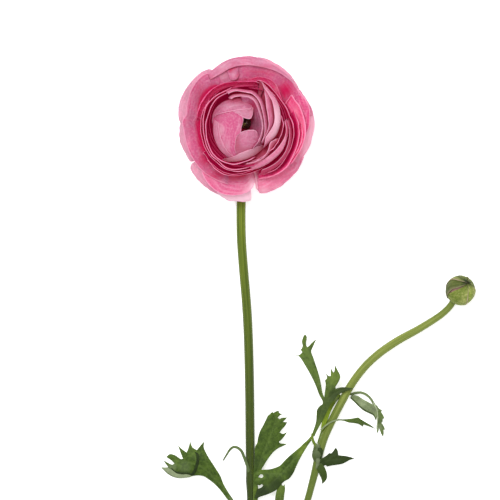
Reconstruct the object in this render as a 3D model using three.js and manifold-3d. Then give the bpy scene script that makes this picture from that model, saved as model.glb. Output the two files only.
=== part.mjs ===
// A cut ranunculus stem lying on a table: one open double bloom, facing up, on a long stem, a side stem with
// a green bud, and the toothed leaves that grow at the stems' nodes. Millimetres, +Z up, the table at z = 0.
// Everything is set out from the bloom's axis, with +Y past the bloom's top and the stems running to -Y.
import * as THREE from "three";
import { mergeVertices } from "three/addons/utils/BufferGeometryUtils.js";
import Module from "manifold-3d";

const wasm = await Module();
wasm.setup();

// Driving dimensions, in mm unless a name says otherwise.
const CLEAR = 0.35; // between two pieces that touch
const STEM_R = 2.5; // the flower stem
const NECK_R = 2.6; // the flower stem just under the bloom
const BUD_STEM_R = 2.13;
const BUD_STEM_LOW_R = 1.95; // below the node where its leaves grow
const BUD_R = 8.6;
const BUD_SQUAT = 0.9; // the bud's length over its width
const BLADE = 0.7; // a leaf's thickness
const PETAL = 0.6; // a petal's thickness
const NECK_TOP = 14; // where the flower stem ends, under the bloom
const CALYX_H = 3.8;
const CORE_R = 13.5; // the pink cushion that carries the petals
const CORE_H = 12;
const GOLDEN_DEG = 137.508; // from one spiral petal to the next
const ORIGIN_X = 40; // from the bloom's axis to the middle of the whole outline
const ORIGIN_Y = -156.1;

const CALYX_FOOT = NECK_TOP + CLEAR;
const BLOOM_FOOT = CALYX_FOOT + CALYX_H + CLEAR; // petal heights are counted from here
const UP = new THREE.Vector3(0, 0, 1);
const rad = THREE.MathUtils.degToRad;
const vectors = (points) => points.map((p) => new THREE.Vector3(...p));
const colour = (hex, roughness) => new THREE.MeshStandardMaterial({ color: hex, roughness, metalness: 0 });
const green = colour("#5f7a34", 0.6);
const budStemGreen = colour("#8c9c4c", 0.6);
const leafGreen = colour("#4a6a2c", 0.7);
const budGreen = colour("#8f9c50", 0.6);
const budPink = colour("#b98c84", 0.6);
const pink = colour("#dc6b96", 0.65);
const dark = colour("#2a1c1c", 0.8);

// ---- Closed solids from three.js geometry ----

const geometryOf = (positions) =>
  new THREE.BufferGeometry().setAttribute("position", new THREE.Float32BufferAttribute(positions, 3));

// A closed geometry as a solid, turned the right way out.
function solidOf(geometry) {
  const bare = new THREE.BufferGeometry().setAttribute("position", geometry.getAttribute("position"));
  if (geometry.index) bare.setIndex(geometry.index);
  const merged = mergeVertices(bare, 1e-4);
  const vertProperties = new Float32Array(merged.attributes.position.array);
  const make = (triVerts) => new wasm.Manifold(new wasm.Mesh({ numProp: 3, vertProperties, triVerts }));
  const triangles = new Uint32Array(merged.index.array);
  const solid = make(triangles);
  return solid.volume() > 0 ? solid : make(triangles.reverse());
}

// The solids joined into one body, with any sealed hollow filled and any loose scrap dropped.
function fuse(solids) {
  const bodies = solids.reduce((whole, next) => whole.add(next)).decompose();
  return bodies.reduce((a, b) => (a.volume() > b.volume() ? a : b));
}

function meshOf(name, solid, material) {
  const { vertProperties, triVerts, numProp, numVert } = solid.getMesh();
  const positions = [];
  for (let i = 0; i < numVert; i++) positions.push(...vertProperties.subarray(i * numProp, i * numProp + 3));
  const geometry = geometryOf(positions).setIndex(new THREE.BufferAttribute(new Uint32Array(triVerts), 1));
  geometry.computeVertexNormals();
  const mesh = new THREE.Mesh(geometry, material);
  mesh.name = name;
  return mesh;
}

// A thin closed sheet over a grid: place(across, along) gives its middle surface, with across from -1 to 1
// and along from 0 to 1. Both faces are split into the same triangles, and a wall closes the edge.
function sheet(columns, rows, thickness, place) {
  const step = 1e-3;
  const positions = [];
  for (const side of [1, -1])
    for (let j = 0; j <= rows; j++)
      for (let i = 0; i <= columns; i++) {
        const [u, t] = [(2 * i) / columns - 1, j / rows];
        const du = place(u + step, t).sub(place(u - step, t));
        const dt = place(u, t + step).sub(place(u, t - step));
        const normal = du.cross(dt).normalize();
        positions.push(...place(u, t).addScaledVector(normal, (side * thickness) / 2));
      }
  const back = (columns + 1) * (rows + 1);
  const at = (i, j) => j * (columns + 1) + i;
  const triangles = [];
  const face = (a, b, c) => triangles.push(a, b, c, back + a, back + c, back + b);
  for (let j = 0; j < rows; j++)
    for (let i = 0; i < columns; i++) {
      face(at(i, j), at(i + 1, j), at(i + 1, j + 1));
      face(at(i, j), at(i + 1, j + 1), at(i, j + 1));
    }
  const rim = [];
  for (let i = 0; i < columns; i++) rim.push(at(i, 0));
  for (let j = 0; j < rows; j++) rim.push(at(columns, j));
  for (let i = columns; i > 0; i--) rim.push(at(i, rows));
  for (let j = rows; j > 0; j--) rim.push(at(0, j));
  rim.forEach((a, k) => {
    const b = rim[(k + 1) % rim.length];
    triangles.push(a, back + a, b, b, back + a, back + b);
  });
  return solidOf(geometryOf(positions).setIndex(triangles));
}

// A round solid, turned about +Z from its profile of radius and height.
function turned(profile, sides) {
  const points = profile.map((p) => new THREE.Vector2(...p));
  return new THREE.LatheGeometry(points, sides).rotateX(Math.PI / 2);
}

// A closed round stem along a route. radiusAt(share) is its radius, and flat squeezes it along the direction
// called upright, which the route itself never follows.
function stem(route, radiusAt, sides, steps, flat = 1, upright = UP) {
  const curve = new THREE.CatmullRomCurve3(vectors(route), false, "centripetal");
  const geometry = new THREE.CylinderGeometry(1, 1, 1, sides, steps);
  const position = geometry.getAttribute("position");
  for (let i = 0; i < position.count; i++) {
    const share = position.getY(i) + 0.5;
    const along = curve.getTangentAt(share);
    const side = along.clone().cross(upright).normalize();
    const top = side.clone().cross(along);
    const point = curve.getPointAt(share);
    point.addScaledVector(side, position.getX(i) * radiusAt(share));
    point.addScaledVector(top, position.getZ(i) * radiusAt(share) * flat);
    position.setXYZ(i, ...point);
  }
  return solidOf(geometry);
}

// ---- Leaves: a toothed outline seen from above, laid over a gently curved ground ----

// Cuts every edge longer than the limit in two, in the plane of the blade, so both faces are cut alike.
function cutLongEdges(triangles, limit) {
  const long = (a, b) => Math.hypot(a[0] - b[0], a[1] - b[1]) > limit;
  const middle = (a, b) => a.map((v, k) => (v + b[k]) / 2);
  const out = [];
  const queue = [...triangles];
  while (queue.length) {
    const t = queue.pop();
    const cuts = [0, 1, 2].filter((k) => long(t[k], t[(k + 1) % 3]));
    if (!cuts.length) {
      out.push(t);
      continue;
    }
    const first = cuts.length === 2 ? (cuts[0] === 0 && cuts[1] === 2 ? 2 : cuts[0]) : cuts[0];
    const [a, b, c] = [0, 1, 2].map((k) => t[(first + k) % 3]);
    const ab = middle(a, b);
    if (cuts.length === 1) queue.push([a, ab, c], [ab, b, c]);
    else if (cuts.length === 2) {
      const bc = middle(b, c);
      queue.push([ab, b, bc], [a, ab, bc], [a, bc, c]);
    } else {
      const [bc, ca] = [middle(b, c), middle(c, a)];
      queue.push([a, ab, ca], [ab, b, bc], [ca, bc, c], [ab, bc, ca]);
    }
  }
  return out;
}

// The ground's height at a point: the given heights [x, y, z], each weighed by how near it is.
function groundFrom(heights) {
  return (x, y) => {
    let [sum, weights] = [0, 0];
    for (const [hx, hy, hz] of heights) {
      const weight = 1 / (1 + ((x - hx) ** 2 + (y - hy) ** 2) ** 1.5);
      sum += weight * hz;
      weights += weight;
    }
    return sum / weights;
  };
}

// A leaf blade from its outline, at the ground's height, its faces a thickness apart.
function leafBlade(outline, heights, longest = 11) {
  const ground = groundFrom(heights);
  const points = outline.map(([x, y]) => new THREE.Vector2(x, y));
  if (THREE.ShapeUtils.isClockWise(points)) points.reverse();
  const corners = THREE.ShapeUtils.triangulateShape(points, []);
  const flat = corners.map((t) => t.map((i) => [points[i].x, points[i].y]));
  const positions = [];
  const put = ([x, y], up) => positions.push(x, y, ground(x, y) + (up * BLADE) / 2);
  const rim = new Map();
  for (const [a, b, c] of cutLongEdges(flat, longest)) {
    for (const p of [a, b, c]) put(p, 1);
    for (const p of [a, c, b]) put(p, -1);
    for (const [p, q] of [[a, b], [b, c], [c, a]]) {
      const [there, back] = [`${p}|${q}`, `${q}|${p}`];
      if (rim.has(back)) rim.delete(back);
      else rim.set(there, [p, q]);
    }
  }
  const wall = [["p", 1], ["p", -1], ["q", 1], ["q", 1], ["p", -1], ["q", -1]];
  for (const [p, q] of rim.values()) for (const [end, up] of wall) put(end === "p" ? p : q, up);
  return solidOf(geometryOf(positions));
}

// ---- Stems ----

const FLOWER_ROUTE = [
  [0, 0, NECK_TOP], [0, 0, NECK_TOP - 1.4], [-0.1, -1.4, 9.4], [-0.5, -5.6, 5.8], [-1.2, -13, 3.5],
  [-2.3, -26, 2.7], [-3.1, -47, 2.55], [-2.9, -64, 2.5], [-1.7, -81, 2.5], [0, -101, 2.5], [1, -120, 2.5],
  [1.7, -150, 2.5], [2, -181, 2.55], [2.5, -198, 2.85], [2.8, -211, 2.55], [3.4, -245, 2.95],
  [3.6, -275, 2.6], [3.6, -297, 2.9], [3.4, -325, 2.5], [3, -350, 2.5],
];
const BUD_ROUTE = [
  [115.9, -98.9, 3.4], [112.6, -103.2, 2.7], [107.4, -107.6, 2.9], [96.7, -114.3, 3.8], [84.6, -121, 4.8],
  [74.7, -127.7, 5.4], [67.2, -134.4, 5.7], [61.7, -141, 5.8], [57.2, -147.8, 5.7], [53.5, -154.6, 5.4],
  [50, -161.3, 4.8], [46.7, -168, 4.2], [43.7, -174.7, 3.6], [41.5, -181.4, 3], [39.8, -188, 2.5],
  [38.2, -195, 2.1], [36.5, -201.6, 2], [34.7, -208.3, 2], [28.4, -229, 2], [21, -252, 2.1],
  [14, -273, 2.3], [9.8, -287, 2.6], [8.65, -293.5, 2.7],
];
const bump = (share, at, width, height) => height * Math.exp(-(((share - at) / width) ** 2));
function flowerRadius(share) {
  const nodes = bump(share, 0.577, 0.012, 0.35) + bump(share, 0.705, 0.012, 0.45);
  return THREE.MathUtils.lerp(NECK_R, STEM_R, Math.min(1, share * 8)) + nodes + bump(share, 0.85, 0.014, 0.4);
}
function budStemRadius(share) {
  const low = THREE.MathUtils.smoothstep(share, 0.4, 0.6);
  return THREE.MathUtils.lerp(BUD_STEM_R, BUD_STEM_LOW_R, low) + bump(share, 1, 0.02, 0.2);
}

// ---- The bloom ----

// A petal's middle surface. Its rib is a curve of radius and height in the upright plane at its azimuth. From
// the rib it bends round the bloom's axis, but never more tightly than the least radius. The lean carries one
// edge out and up, so that a petal's edge lies over the next one's, and the shift carries its tip sideways.
const PLAIN = { foot: BLOOM_FOOT, corner: 0.2, power: 3.6, lean: [0, 0], shift: [0, 0], least: 6 };
function petalSurface(shape) {
  const { azimuth, width, rib, foot, corner, power, lean, shift, least } = { ...PLAIN, ...shape };
  const curve = new THREE.CubicBezierCurve(...rib.map((p) => new THREE.Vector2(...p)));
  const out = new THREE.Vector3(Math.cos(rad(azimuth)), Math.sin(rad(azimuth)), 0);
  const across = new THREE.Vector3(-out.y, out.x, 0);
  return (u, t) => {
    const s = t * (1 - corner * Math.abs(u) ** power);
    const { x: r, y: z } = curve.getPoint(s);
    const bend = Math.max(r, least);
    const turn = (width * Math.sin(Math.PI * (0.2 + 0.46 * s)) * u) / bend;
    const point = out.clone().multiplyScalar(r - bend + bend * Math.cos(turn) + lean[0] * u);
    point.addScaledVector(across, bend * Math.sin(turn));
    point.x += shift[0] * s * s;
    point.y += shift[1] * s * s;
    return point.setZ(foot + z + lean[1] * u);
  };
}

// The outermost petals, bent back towards the table: [azimuth, reach, half width, height of the tip].
const GUARD_PETALS = [
  [150, 38.2, 20, -4], [193, 37, 17, -5], [229, 41.4, 19, -2], [258, 43.3, 12.5, -1], [304, 40, 19.4, -3],
  [0, 37.1, 20, -4], [48, 36, 19, -3], [97, 37.8, 20, -5],
];
// The spread petals over them: [azimuth, reach, half width, height of the tip].
const SPREAD_PETALS = [
  [20, 32.8, 19, 12], [72, 32.6, 19, 12], [124, 33.4, 18, 11], [170, 32.6, 18, 11], [210, 35.6, 18, 9],
  [249, 37.4, 15, 9], [310, 35.2, 18.5, 10],
];
const SPIRAL_COUNT = 24;
// The petals that close over the middle: [azimuth, reach, half width, height of the top, radius of the tip].
const HEART_PETALS = [
  [228, 15.5, 17, 31, 9], [135, 15.2, 17, 32, 5], [300, 13.6, 13, 29.5, 8], [40, 13.5, 13, 29, 11],
  [180, 14, 15, 30.2, 3.4], [350, 11.6, 10, 26.5, 10],
];

function guardPetal([azimuth, reach, width, tip]) {
  const rib = [[9, 1.6], [20, 4.4], [reach - 1, 5.4], [reach, tip]];
  return petalSurface({ azimuth, width, rib, lean: [0.7, 0.7] });
}

function spreadPetal([azimuth, reach, width, tip]) {
  const rib = [[9, 4.2], [20, 5.4], [reach - 3, 5.4], [reach, tip]];
  return petalSurface({ azimuth, width, rib, lean: [0.6, -0.7] });
}

// The cupped petals, each one further in and a golden angle on from the last.
function spiralPetal(order) {
  const inward = order / (SPIRAL_COUNT - 1);
  const reach = THREE.MathUtils.lerp(30.5, 18.6, inward ** 0.9);
  const root = THREE.MathUtils.lerp(6.2, 13.6, inward);
  const top = 15 + 13.5 * inward ** 0.65;
  const rib = [[10, root], [reach * 0.92, root], [reach * 1.1, root + 3 + 5 * inward], [reach, top]];
  const shift = [-3.2 * inward, -0.4 * inward];
  return petalSurface({ azimuth: 30 + order * GOLDEN_DEG, width: reach * 0.78, rib, shift, power: 3 });
}

function heartPetal([azimuth, reach, width, top, tip]) {
  const rib = [[8, 12.5], [reach * 1.05, 12.5], [reach * 1.16, top + 3], [tip, top]];
  return petalSurface({ azimuth, width, rib, shift: [-5, -0.6], corner: 0.3, power: 2.4, least: 8.5 });
}

function bloom() {
  const under = [[0, 0], [4.6, 0], [11, 0.8], [CORE_R, 2.6]];
  const over = [[CORE_R, CORE_H], [11, CORE_H + 1.6], [5, CORE_H], [0, CORE_H]];
  const core = turned([...under, ...over], 20).translate(0, 0, BLOOM_FOOT);
  const petals = [
    ...GUARD_PETALS.map((p) => sheet(6, 3, PETAL, guardPetal(p))),
    ...SPREAD_PETALS.map((p) => sheet(5, 3, PETAL, spreadPetal(p))),
    ...Array.from({ length: SPIRAL_COUNT }, (_, k) => sheet(5, 3, PETAL, spiralPetal(k))),
    ...HEART_PETALS.map((p) => sheet(4, 4, PETAL, heartPetal(p))),
  ];
  return fuse([solidOf(core), ...petals]);
}

// The green seat under the petals with its five sepals, bent back towards the table.
function calyx() {
  const seat = turned([[0, 0], [2.9, 0], [4.2, 1.6], [4.9, CALYX_H], [0, CALYX_H]], 14);
  const rib = [[1.5, 2.2], [10, 4.6], [16, 1.6], [18.5, -6]];
  const shape = { width: 4.6, rib, foot: CALYX_FOOT, corner: 0.5, power: 2, least: 9 };
  const surfaces = [18, 90, 162, 228, 312].map((azimuth) => petalSurface({ azimuth, ...shape }));
  const sepals = surfaces.map((surface) => sheet(3, 4, BLADE, surface));
  return fuse([solidOf(seat.translate(0, 0, CALYX_FOOT)), ...sepals]);
}

// The dark heart: a cone of carpels, each a small knob, in rising golden-angle rows.
function pistilHead() {
  const foot = BLOOM_FOOT + CORE_H + CLEAR;
  const cone = turned([[0, 0], [3.6, 0], [3.6, 2], [2.6, 6], [1.2, 8], [0, 8.4]], 12);
  const knobs = Array.from({ length: 18 }, (_, k) => {
    const share = k / 17;
    const r = 3.4 * Math.sqrt(1 - share * share * 0.97);
    const knob = new THREE.OctahedronGeometry(0.9).translate(r, 0, foot + 1.2 + 7 * share);
    return solidOf(knob.rotateZ(rad(k * GOLDEN_DEG)));
  });
  return fuse([solidOf(cone.translate(0, 0, foot)), ...knobs]);
}

// ---- The bud ----

const BUD_CENTRE = new THREE.Vector3(119.6, -92.7, BUD_R - 0.1);
const BUD_AXIS = new THREE.Vector3(0.37, 0.56, 0.74).normalize();
const BUD_TURN = new THREE.Quaternion().setFromUnitVectors(UP, BUD_AXIS);

// A round solid on the bud's own axis.
function budTurned(profile, sides) {
  return solidOf(turned(profile, sides).applyQuaternion(BUD_TURN).translate(...BUD_CENTRE));
}

// The five sepals that clasp the bud, each over the next one's edge.
function budSepals() {
  const foot = budTurned([[0, -7.9], [2.5, -7.9], [3.6, -6.4], [0, -6.4]], 12);
  const sepals = [0, 72, 144, 216, 288].map((azimuth) =>
    sheet(4, 5, BLADE, (u, t) => {
      const latitude = rad(-76 + 148 * t * (1 - 0.22 * u * u));
      const longitude = rad(azimuth + 46 * u * (1 - 0.45 * t * t));
      const r = BUD_R - 0.6 + 0.55 * u;
      const point = new THREE.Vector3(r * Math.cos(latitude), 0, r * Math.sin(latitude) * BUD_SQUAT);
      return point.applyAxisAngle(UP, longitude).applyQuaternion(BUD_TURN).add(BUD_CENTRE);
    }),
  );
  return fuse([foot, ...sepals]);
}

// The closed petals inside, a ball with a low point at the tip.
const BUD_PETALS = [[0, -5.4], [3.3, -4.8], [5.6, -2.9], [6.3, 0], [5.6, 2.7], [3.4, 4.8], [0, 5.7]];

// ---- Leaf outlines: x, y pairs from above, and the ground heights under them ----

const LEFT_LEAF = {
  outline: [
    [-7.3, -210.1], [-10.1, -206], [-12.5, -202], [-13.5, -199.7], [-14.7, -196.5], [-17.9, -191.3],
    [-21.1, -186.3], [-23.1, -182.7], [-23.9, -180.3], [-23.5, -177.1], [-25.7, -179.5], [-27.7, -182.1],
    [-30.3, -180.5], [-31.5, -177.3], [-32.5, -181.1], [-33.5, -183.5], [-36.3, -181.5], [-38.5, -179.3],
    [-36.5, -184.5], [-35.5, -186.9], [-36.9, -187.1], [-39.9, -185.1], [-42.9, -184.5], [-44.9, -186.1],
    [-42.1, -187.9], [-40.3, -189.7], [-41.9, -190.3], [-46.7, -187.9], [-43.7, -191.9], [-47.7, -192.1],
    [-43.9, -195.7], [-40.3, -197.5], [-36.3, -197.9], [-30.3, -196.7], [-26.7, -196.3], [-23.7, -196.9],
    [-20.7, -198.9], [-17.9, -201.1], [-15.1, -204.1], [-12.7, -207.1], [-10.1, -210.3],
  ],
  heights: [
    [-8.3, -209.5, 3.6], [-13.3, -202.5, 4.4], [-19.3, -195.5, 6.2], [-25.3, -189.5, 8],
    [-28.7, -183.5, 8.4], [-23.9, -178.5, 7.4], [-32.3, -189.5, 7.6], [-31.3, -179.5, 5.4],
    [-37.3, -181.5, 3.4], [-38.3, -190.5, 5.6], [-43.9, -185.9, 2.6], [-45.8, -189.5, 1.6],
    [-46.3, -192.5, 1.2], [-38.3, -196.5, 2.4], [-30.3, -195.5, 4.6],
  ],
  petiole: [
    [-0.8, -243.5, 3.4], [-2.5, -235.5, 4], [-3.9, -225.5, 4], [-5.9, -216.5, 3.7], [-9.5, -208.1, 3.8],
  ],
};
const TOOTHED_LEAF = {
  outline: [
    [4.6, -185.5], [4.7, -180.5], [5.9, -178.1], [6.4, -175.1], [7.5, -171.5], [9.2, -168.3],
    [10.6, -165.5], [12, -162.7], [13.1, -161.9], [14.3, -160.7], [15.1, -161.4], [15.9, -160.7],
    [17.9, -160], [18.3, -161.4], [20.1, -162.1], [18.5, -162.8], [17.4, -164.1], [18.5, -164.9],
    [19.9, -164.1], [22.9, -163.9], [21.1, -165.7], [20.3, -166.3], [22.7, -166.7], [21.3, -168.9],
    [19.6, -170.7], [18.5, -172.3], [20.3, -173.1], [22.8, -172.1], [20.9, -174.7], [19.3, -176.5],
    [18.1, -177.4], [18.9, -178.4], [23.1, -178.6], [20.5, -179.9], [18.5, -180.7], [15.9, -182.4],
    [13.7, -184.7], [11.7, -187.5], [10.1, -190.1], [8.6, -192.5], [7.1, -195.9], [6.3, -200.1],
    [4.4, -202.1], [4.2, -194.5],
  ],
  heights: [
    [5.1, -201.5, 5.6], [5.1, -194.5, 5.8], [5.7, -187.5, 6.4], [8.7, -181.5, 7.6], [11.7, -174.5, 8.6],
    [14.7, -167.5, 8.4], [17.7, -160.5, 5.6], [22.7, -164.5, 4.2], [22.7, -172.1, 3.6], [22.7, -178.5, 3.2],
    [6.7, -175.5, 9.2], [11.7, -163.5, 8.6], [8.1, -192.1, 5.9],
  ],
};
const FORKED_UPPER = {
  outline: [
    [36.1, -174.4], [37.2, -171.4], [38.3, -168.1], [38.9, -165.3], [39.1, -161.9], [39.3, -159.7],
    [40.6, -157.7], [42.5, -156.3], [42.4, -154.5], [40.6, -151.3], [38.9, -146.8], [37.2, -142.9],
    [35.5, -139.5], [32.7, -134.7], [30.5, -131.1], [28.5, -128.9], [26.3, -129.9], [29.7, -128.7],
    [31.1, -127.4], [30.3, -126.1], [31.3, -124.1], [30.9, -121.5], [31.3, -119.9], [32.2, -117.9],
    [33.1, -117.7], [33.7, -119.1], [33.3, -121.7], [33.3, -123.5], [33.9, -124.7], [34.9, -123.9],
    [36.5, -122.1], [39.1, -120], [37.5, -123.5], [36.1, -126.7], [36.4, -128.3], [37.5, -131.1],
    [39.7, -137.8], [40.8, -141.7], [41.5, -145.1], [42.3, -149.7], [43.3, -152.5], [43.9, -147.9],
    [44.1, -145.1], [43.8, -143.1], [44.9, -141.7], [44.3, -139.3], [45.7, -140.5], [46.9, -140.7],
    [47, -136.1], [48.4, -138.7], [49, -138.1], [49.3, -134.5], [51.5, -138.7], [52.3, -140.9],
    [51.7, -143.1], [50.6, -145.1], [49.7, -146.5], [49.7, -147.7], [52.9, -146.9], [56.7, -147.1],
    [59.7, -147.7], [56.7, -148.7], [54.6, -149.5], [52.9, -150.2], [51.2, -151.3], [49.7, -153],
    [48.1, -155], [46.5, -157.2], [45.3, -159.7], [43.7, -163], [42.3, -165.8], [40.8, -168.6],
    [39.3, -171.4], [37.9, -174.5],
  ],
  heights: [
    [36.9, -174.5, 6.2], [38.9, -169.5, 7], [41.1, -162.5, 8.4], [44.3, -156.5, 9.6], [41.9, -151.5, 10.2],
    [39.3, -143.5, 11.4], [35.7, -134.5, 11], [32.3, -126.5, 8.8], [32.7, -118.1, 5], [38.7, -120.5, 5.6],
    [26.7, -129.5, 7.6], [46.3, -149.5, 10.8], [47.3, -141.5, 12], [49.7, -135.5, 9.6], [44.3, -139.5, 9.4],
    [51.7, -140.5, 11], [50.7, -149.5, 10.4], [54.7, -148.1, 10.2], [59.7, -147.7, 9.4],
  ],
};
const FORKED_LOWER = {
  outline: [
    [35.3, -175.3], [33.6, -176.5], [31.6, -178.7], [29.4, -181.2], [26.9, -183.7], [24.1, -186],
    [21.3, -188.5], [19.3, -190.5], [17.1, -191.6], [14.3, -192.4], [11.5, -193], [9.3, -193.3],
    [7.5, -194.7], [9.5, -196.3], [9.3, -197.5], [6.6, -198.5], [9.3, -199.1], [8.9, -201.1], [6.9, -203.3],
    [8.6, -202.7], [7.3, -204.7], [6.1, -208.1], [8.7, -207.9], [11.1, -207.1], [12.7, -207.7],
    [14.3, -206.1], [16.5, -204.5], [18.1, -203.5], [19.9, -199.7], [22.3, -198.1], [24.5, -196.1],
    [26.3, -192.9], [28, -189.9], [29.7, -186.9], [31.6, -183.5], [33.3, -180.5], [34.7, -178.1],
    [35.9, -176.5],
  ],
  heights: [
    [35.7, -175.9, 6.1], [31.7, -180.5, 6.6], [26.7, -186.5, 7.8], [21.7, -192.5, 8.6], [15.7, -197.5, 8.8],
    [9.7, -195.5, 8.4], [7.7, -202.5, 8.2], [7.7, -207.5, 7.6], [14.7, -204.5, 7.4], [25.7, -193.5, 6.8],
  ],
};
const HANGING_LOBE = {
  outline: [
    [17.3, -199.1], [20.3, -199.7], [21.3, -203.3], [20.7, -206.5], [20.5, -212], [19.3, -216.5],
    [17.9, -220.1], [17.1, -216.5], [16.1, -212.9], [16.3, -206.7], [16.9, -202.9],
  ],
  heights: [[18.7, -199.5, 8.2], [18.9, -204.5, 6.4], [18.5, -211.5, 4.2], [17.9, -219.5, 1.2]],
};
const DARK_LEAF = {
  outline: [
    [41.3, -186.9], [42.3, -186.7], [44.5, -185.3], [46.3, -183.8], [47.3, -184.1], [48.5, -182.7],
    [49.9, -180.7], [50.9, -182.3], [51.3, -185.1], [54.7, -185.4], [57.5, -186], [60.6, -187],
    [58, -187.7], [55.7, -188.9], [53.5, -189.9], [50.1, -190.5], [47.3, -190.9], [45, -191.4],
    [44.4, -190.6], [42.5, -191.1], [40.9, -190.3],
  ],
  heights: [
    [42.7, -188.5, 4.9], [46.7, -187.5, 5.2], [49.9, -181.5, 4.6], [53.7, -187.5, 4], [60.5, -187, 1.6],
    [44.7, -191.1, 3.6],
  ],
};
const DROPPED_LOBE = {
  outline: [
    [39.5, -192.5], [40.9, -196.1], [42, -198.9], [42.3, -201.3], [44.1, -199.5], [45, -197.5],
    [44.9, -195.1], [44.3, -193.3], [43.1, -190.9], [41.3, -189.5],
  ],
  heights: [[41.3, -190.5, 5.8], [42.1, -194.5, 5], [43.1, -197.5, 3.2], [42.5, -201.1, 1.2]],
};
const NODDING_LEAF = {
  outline: [
    [58.3, -152.1], [60.1, -150], [63.5, -149.1], [66.1, -149.5], [68.7, -151.3], [70.5, -153.5],
    [71.9, -156.1], [73.9, -158.7], [75.3, -159.9], [75.1, -161.5], [76.7, -163.5], [75.9, -165.9],
    [76.7, -169.5], [75.7, -170.5], [76.5, -174.5], [74.7, -171.1], [73.7, -170.9], [73.3, -172.5],
    [72.9, -168.9], [72.7, -165.5], [72.1, -163.7], [71.1, -161.7], [68.1, -159.9], [65.1, -158.2],
    [62.3, -156.1], [59.9, -153.9],
  ],
  heights: [
    [58.7, -151.5, 1.9], [61.7, -151.5, 3.2], [65.7, -152.5, 5.6], [69.7, -156.5, 7.2], [73.1, -160.5, 6.8],
    [76.3, -163.5, 4.6], [74.7, -167.5, 3.6], [76.3, -174.1, 1], [63.7, -156.5, 3],
  ],
  petiole: [
    [38.7, -179.7, 2.2], [39.5, -172.5, 1.7], [42.7, -164, 1.4], [47.2, -155.5, 1.3], [51.7, -151.8, 1.3],
    [57.7, -151.1, 1.7], [60.7, -151.4, 2.6],
  ],
};
const SLENDER_LEAF = {
  outline: [
    [54.1, -164.8], [57.9, -164.7], [60.7, -164.4], [62.7, -163.8], [64.1, -165], [66.3, -166.4],
    [69.1, -168.3], [71.9, -170.2], [69.1, -169.2], [66.9, -168.3], [65.3, -168.1], [64.9, -169.2],
    [63.5, -167.8], [61.9, -166.9], [59.1, -166.3], [56.3, -166], [54.1, -165.5],
  ],
  heights: [
    [54.1, -165.2, 6.9], [58.7, -165.5, 7], [63.3, -165.5, 6.2], [66.7, -167.5, 3.8], [71.7, -170.1, 1.1],
  ],
  petiole: [
    [41.5, -170.9, 6.4], [44.3, -168.3, 7.5], [47.3, -166.3, 7.4], [50.7, -165.3, 7.1], [55.7, -165.3, 6.8],
  ],
};
const LOW_LEAF = {
  outline: [
    [-4.7, -252.1], [-8.3, -245.5], [-9.9, -240.1], [-9.7, -232.9], [-9.1, -227.9], [-10.3, -223.7],
    [-11.9, -218.9], [-12.1, -210.1], [-14.5, -215.5], [-16.1, -219.9], [-18.3, -218.1], [-19.7, -214.1],
    [-20.7, -218.9], [-21.9, -221.1], [-24.7, -216.3], [-27.3, -209.9], [-27.3, -216.5], [-26.7, -221.5],
    [-29.9, -221.9], [-34.3, -219.1], [-31.9, -224.5], [-29.3, -228.3], [-32.1, -229.7], [-36.9, -228.9],
    [-32.3, -233.5], [-26.3, -237.5], [-19.9, -241.1], [-14.3, -245.1], [-9.3, -250.1], [-6.3, -253.7],
  ],
  heights: [
    [-5.3, -252.5, 3.4], [-11.3, -242.5, 5], [-17.3, -233.5, 7], [-22.3, -227.5, 7.4], [-14.3, -225.5, 6.6],
    [-12.3, -211.5, 1.6], [-19.9, -215.5, 3], [-27.3, -211.5, 1.4], [-34.3, -220.1, 1.2],
    [-36.3, -229.1, 1.1], [-24.3, -237.5, 4],
  ],
  petiole: [[-0.3, -262.5, 3], [-2.1, -258.5, 3.2], [-4.1, -255.1, 3.3], [-7.3, -249.1, 4]],
};
const CURLED_ROUTE = [
  [1.2, -195.5, 6.2], [0.4, -190.5, 6.4], [-1.4, -186, 7.4], [-2.9, -182.6, 8.6], [-5.1, -180.7, 9.4],
  [-7.3, -180.4, 9], [-9.2, -181.8, 7.4], [-11, -184.6, 4.4], [-13.1, -188.1, 1.2],
];

const bladeOf = ({ outline, heights }) => leafBlade(outline, heights);

function leafWithPetiole(leaf, thick = 1.15, thin = 0.75) {
  const stalk = stem(leaf.petiole, (share) => THREE.MathUtils.lerp(thick, thin, share), 8, 10, 0.8);
  return fuse([bladeOf(leaf), stalk]);
}

// The leaf base that clasps the bud stem from above, a little swollen at its middle.
function sheath() {
  const curve = new THREE.CatmullRomCurve3(vectors(BUD_ROUTE), false, "centripetal");
  return sheet(8, 4, BLADE, (u, t) => {
    const share = THREE.MathUtils.lerp(0.487, 0.552, t);
    const along = curve.getTangentAt(share);
    const side = along.clone().cross(UP).normalize();
    const top = side.clone().cross(along);
    const r = budStemRadius(share) + CLEAR + BLADE / 2 + 0.5 * Math.sin(Math.PI * t);
    const turn = rad(74) * u;
    const point = curve.getPointAt(share).addScaledVector(side, r * Math.sin(turn));
    return point.addScaledVector(top, r * Math.cos(turn));
  });
}

function forkedLeaf() {
  const stalk = [[40.6, -177.3, 4.7], [38.9, -176.9, 5.3], [37.1, -175.5, 6], [37.1, -172.9, 6.5]];
  const fork = [[36.7, -174.5, 6.3], [35.3, -176.1, 6.2], [33.1, -178.5, 6.4]];
  const stalks = [stem(stalk, () => 1, 8, 6, 0.8), stem(fork, () => 0.85, 8, 5, 0.8)];
  return fuse([...stalks, ...[FORKED_UPPER, FORKED_LOWER, HANGING_LOBE].map(bladeOf)]);
}

const curledRadius = (share) => 1.05 * (1 - 0.75 * share ** 3);

// ---- The whole stem ----

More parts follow.
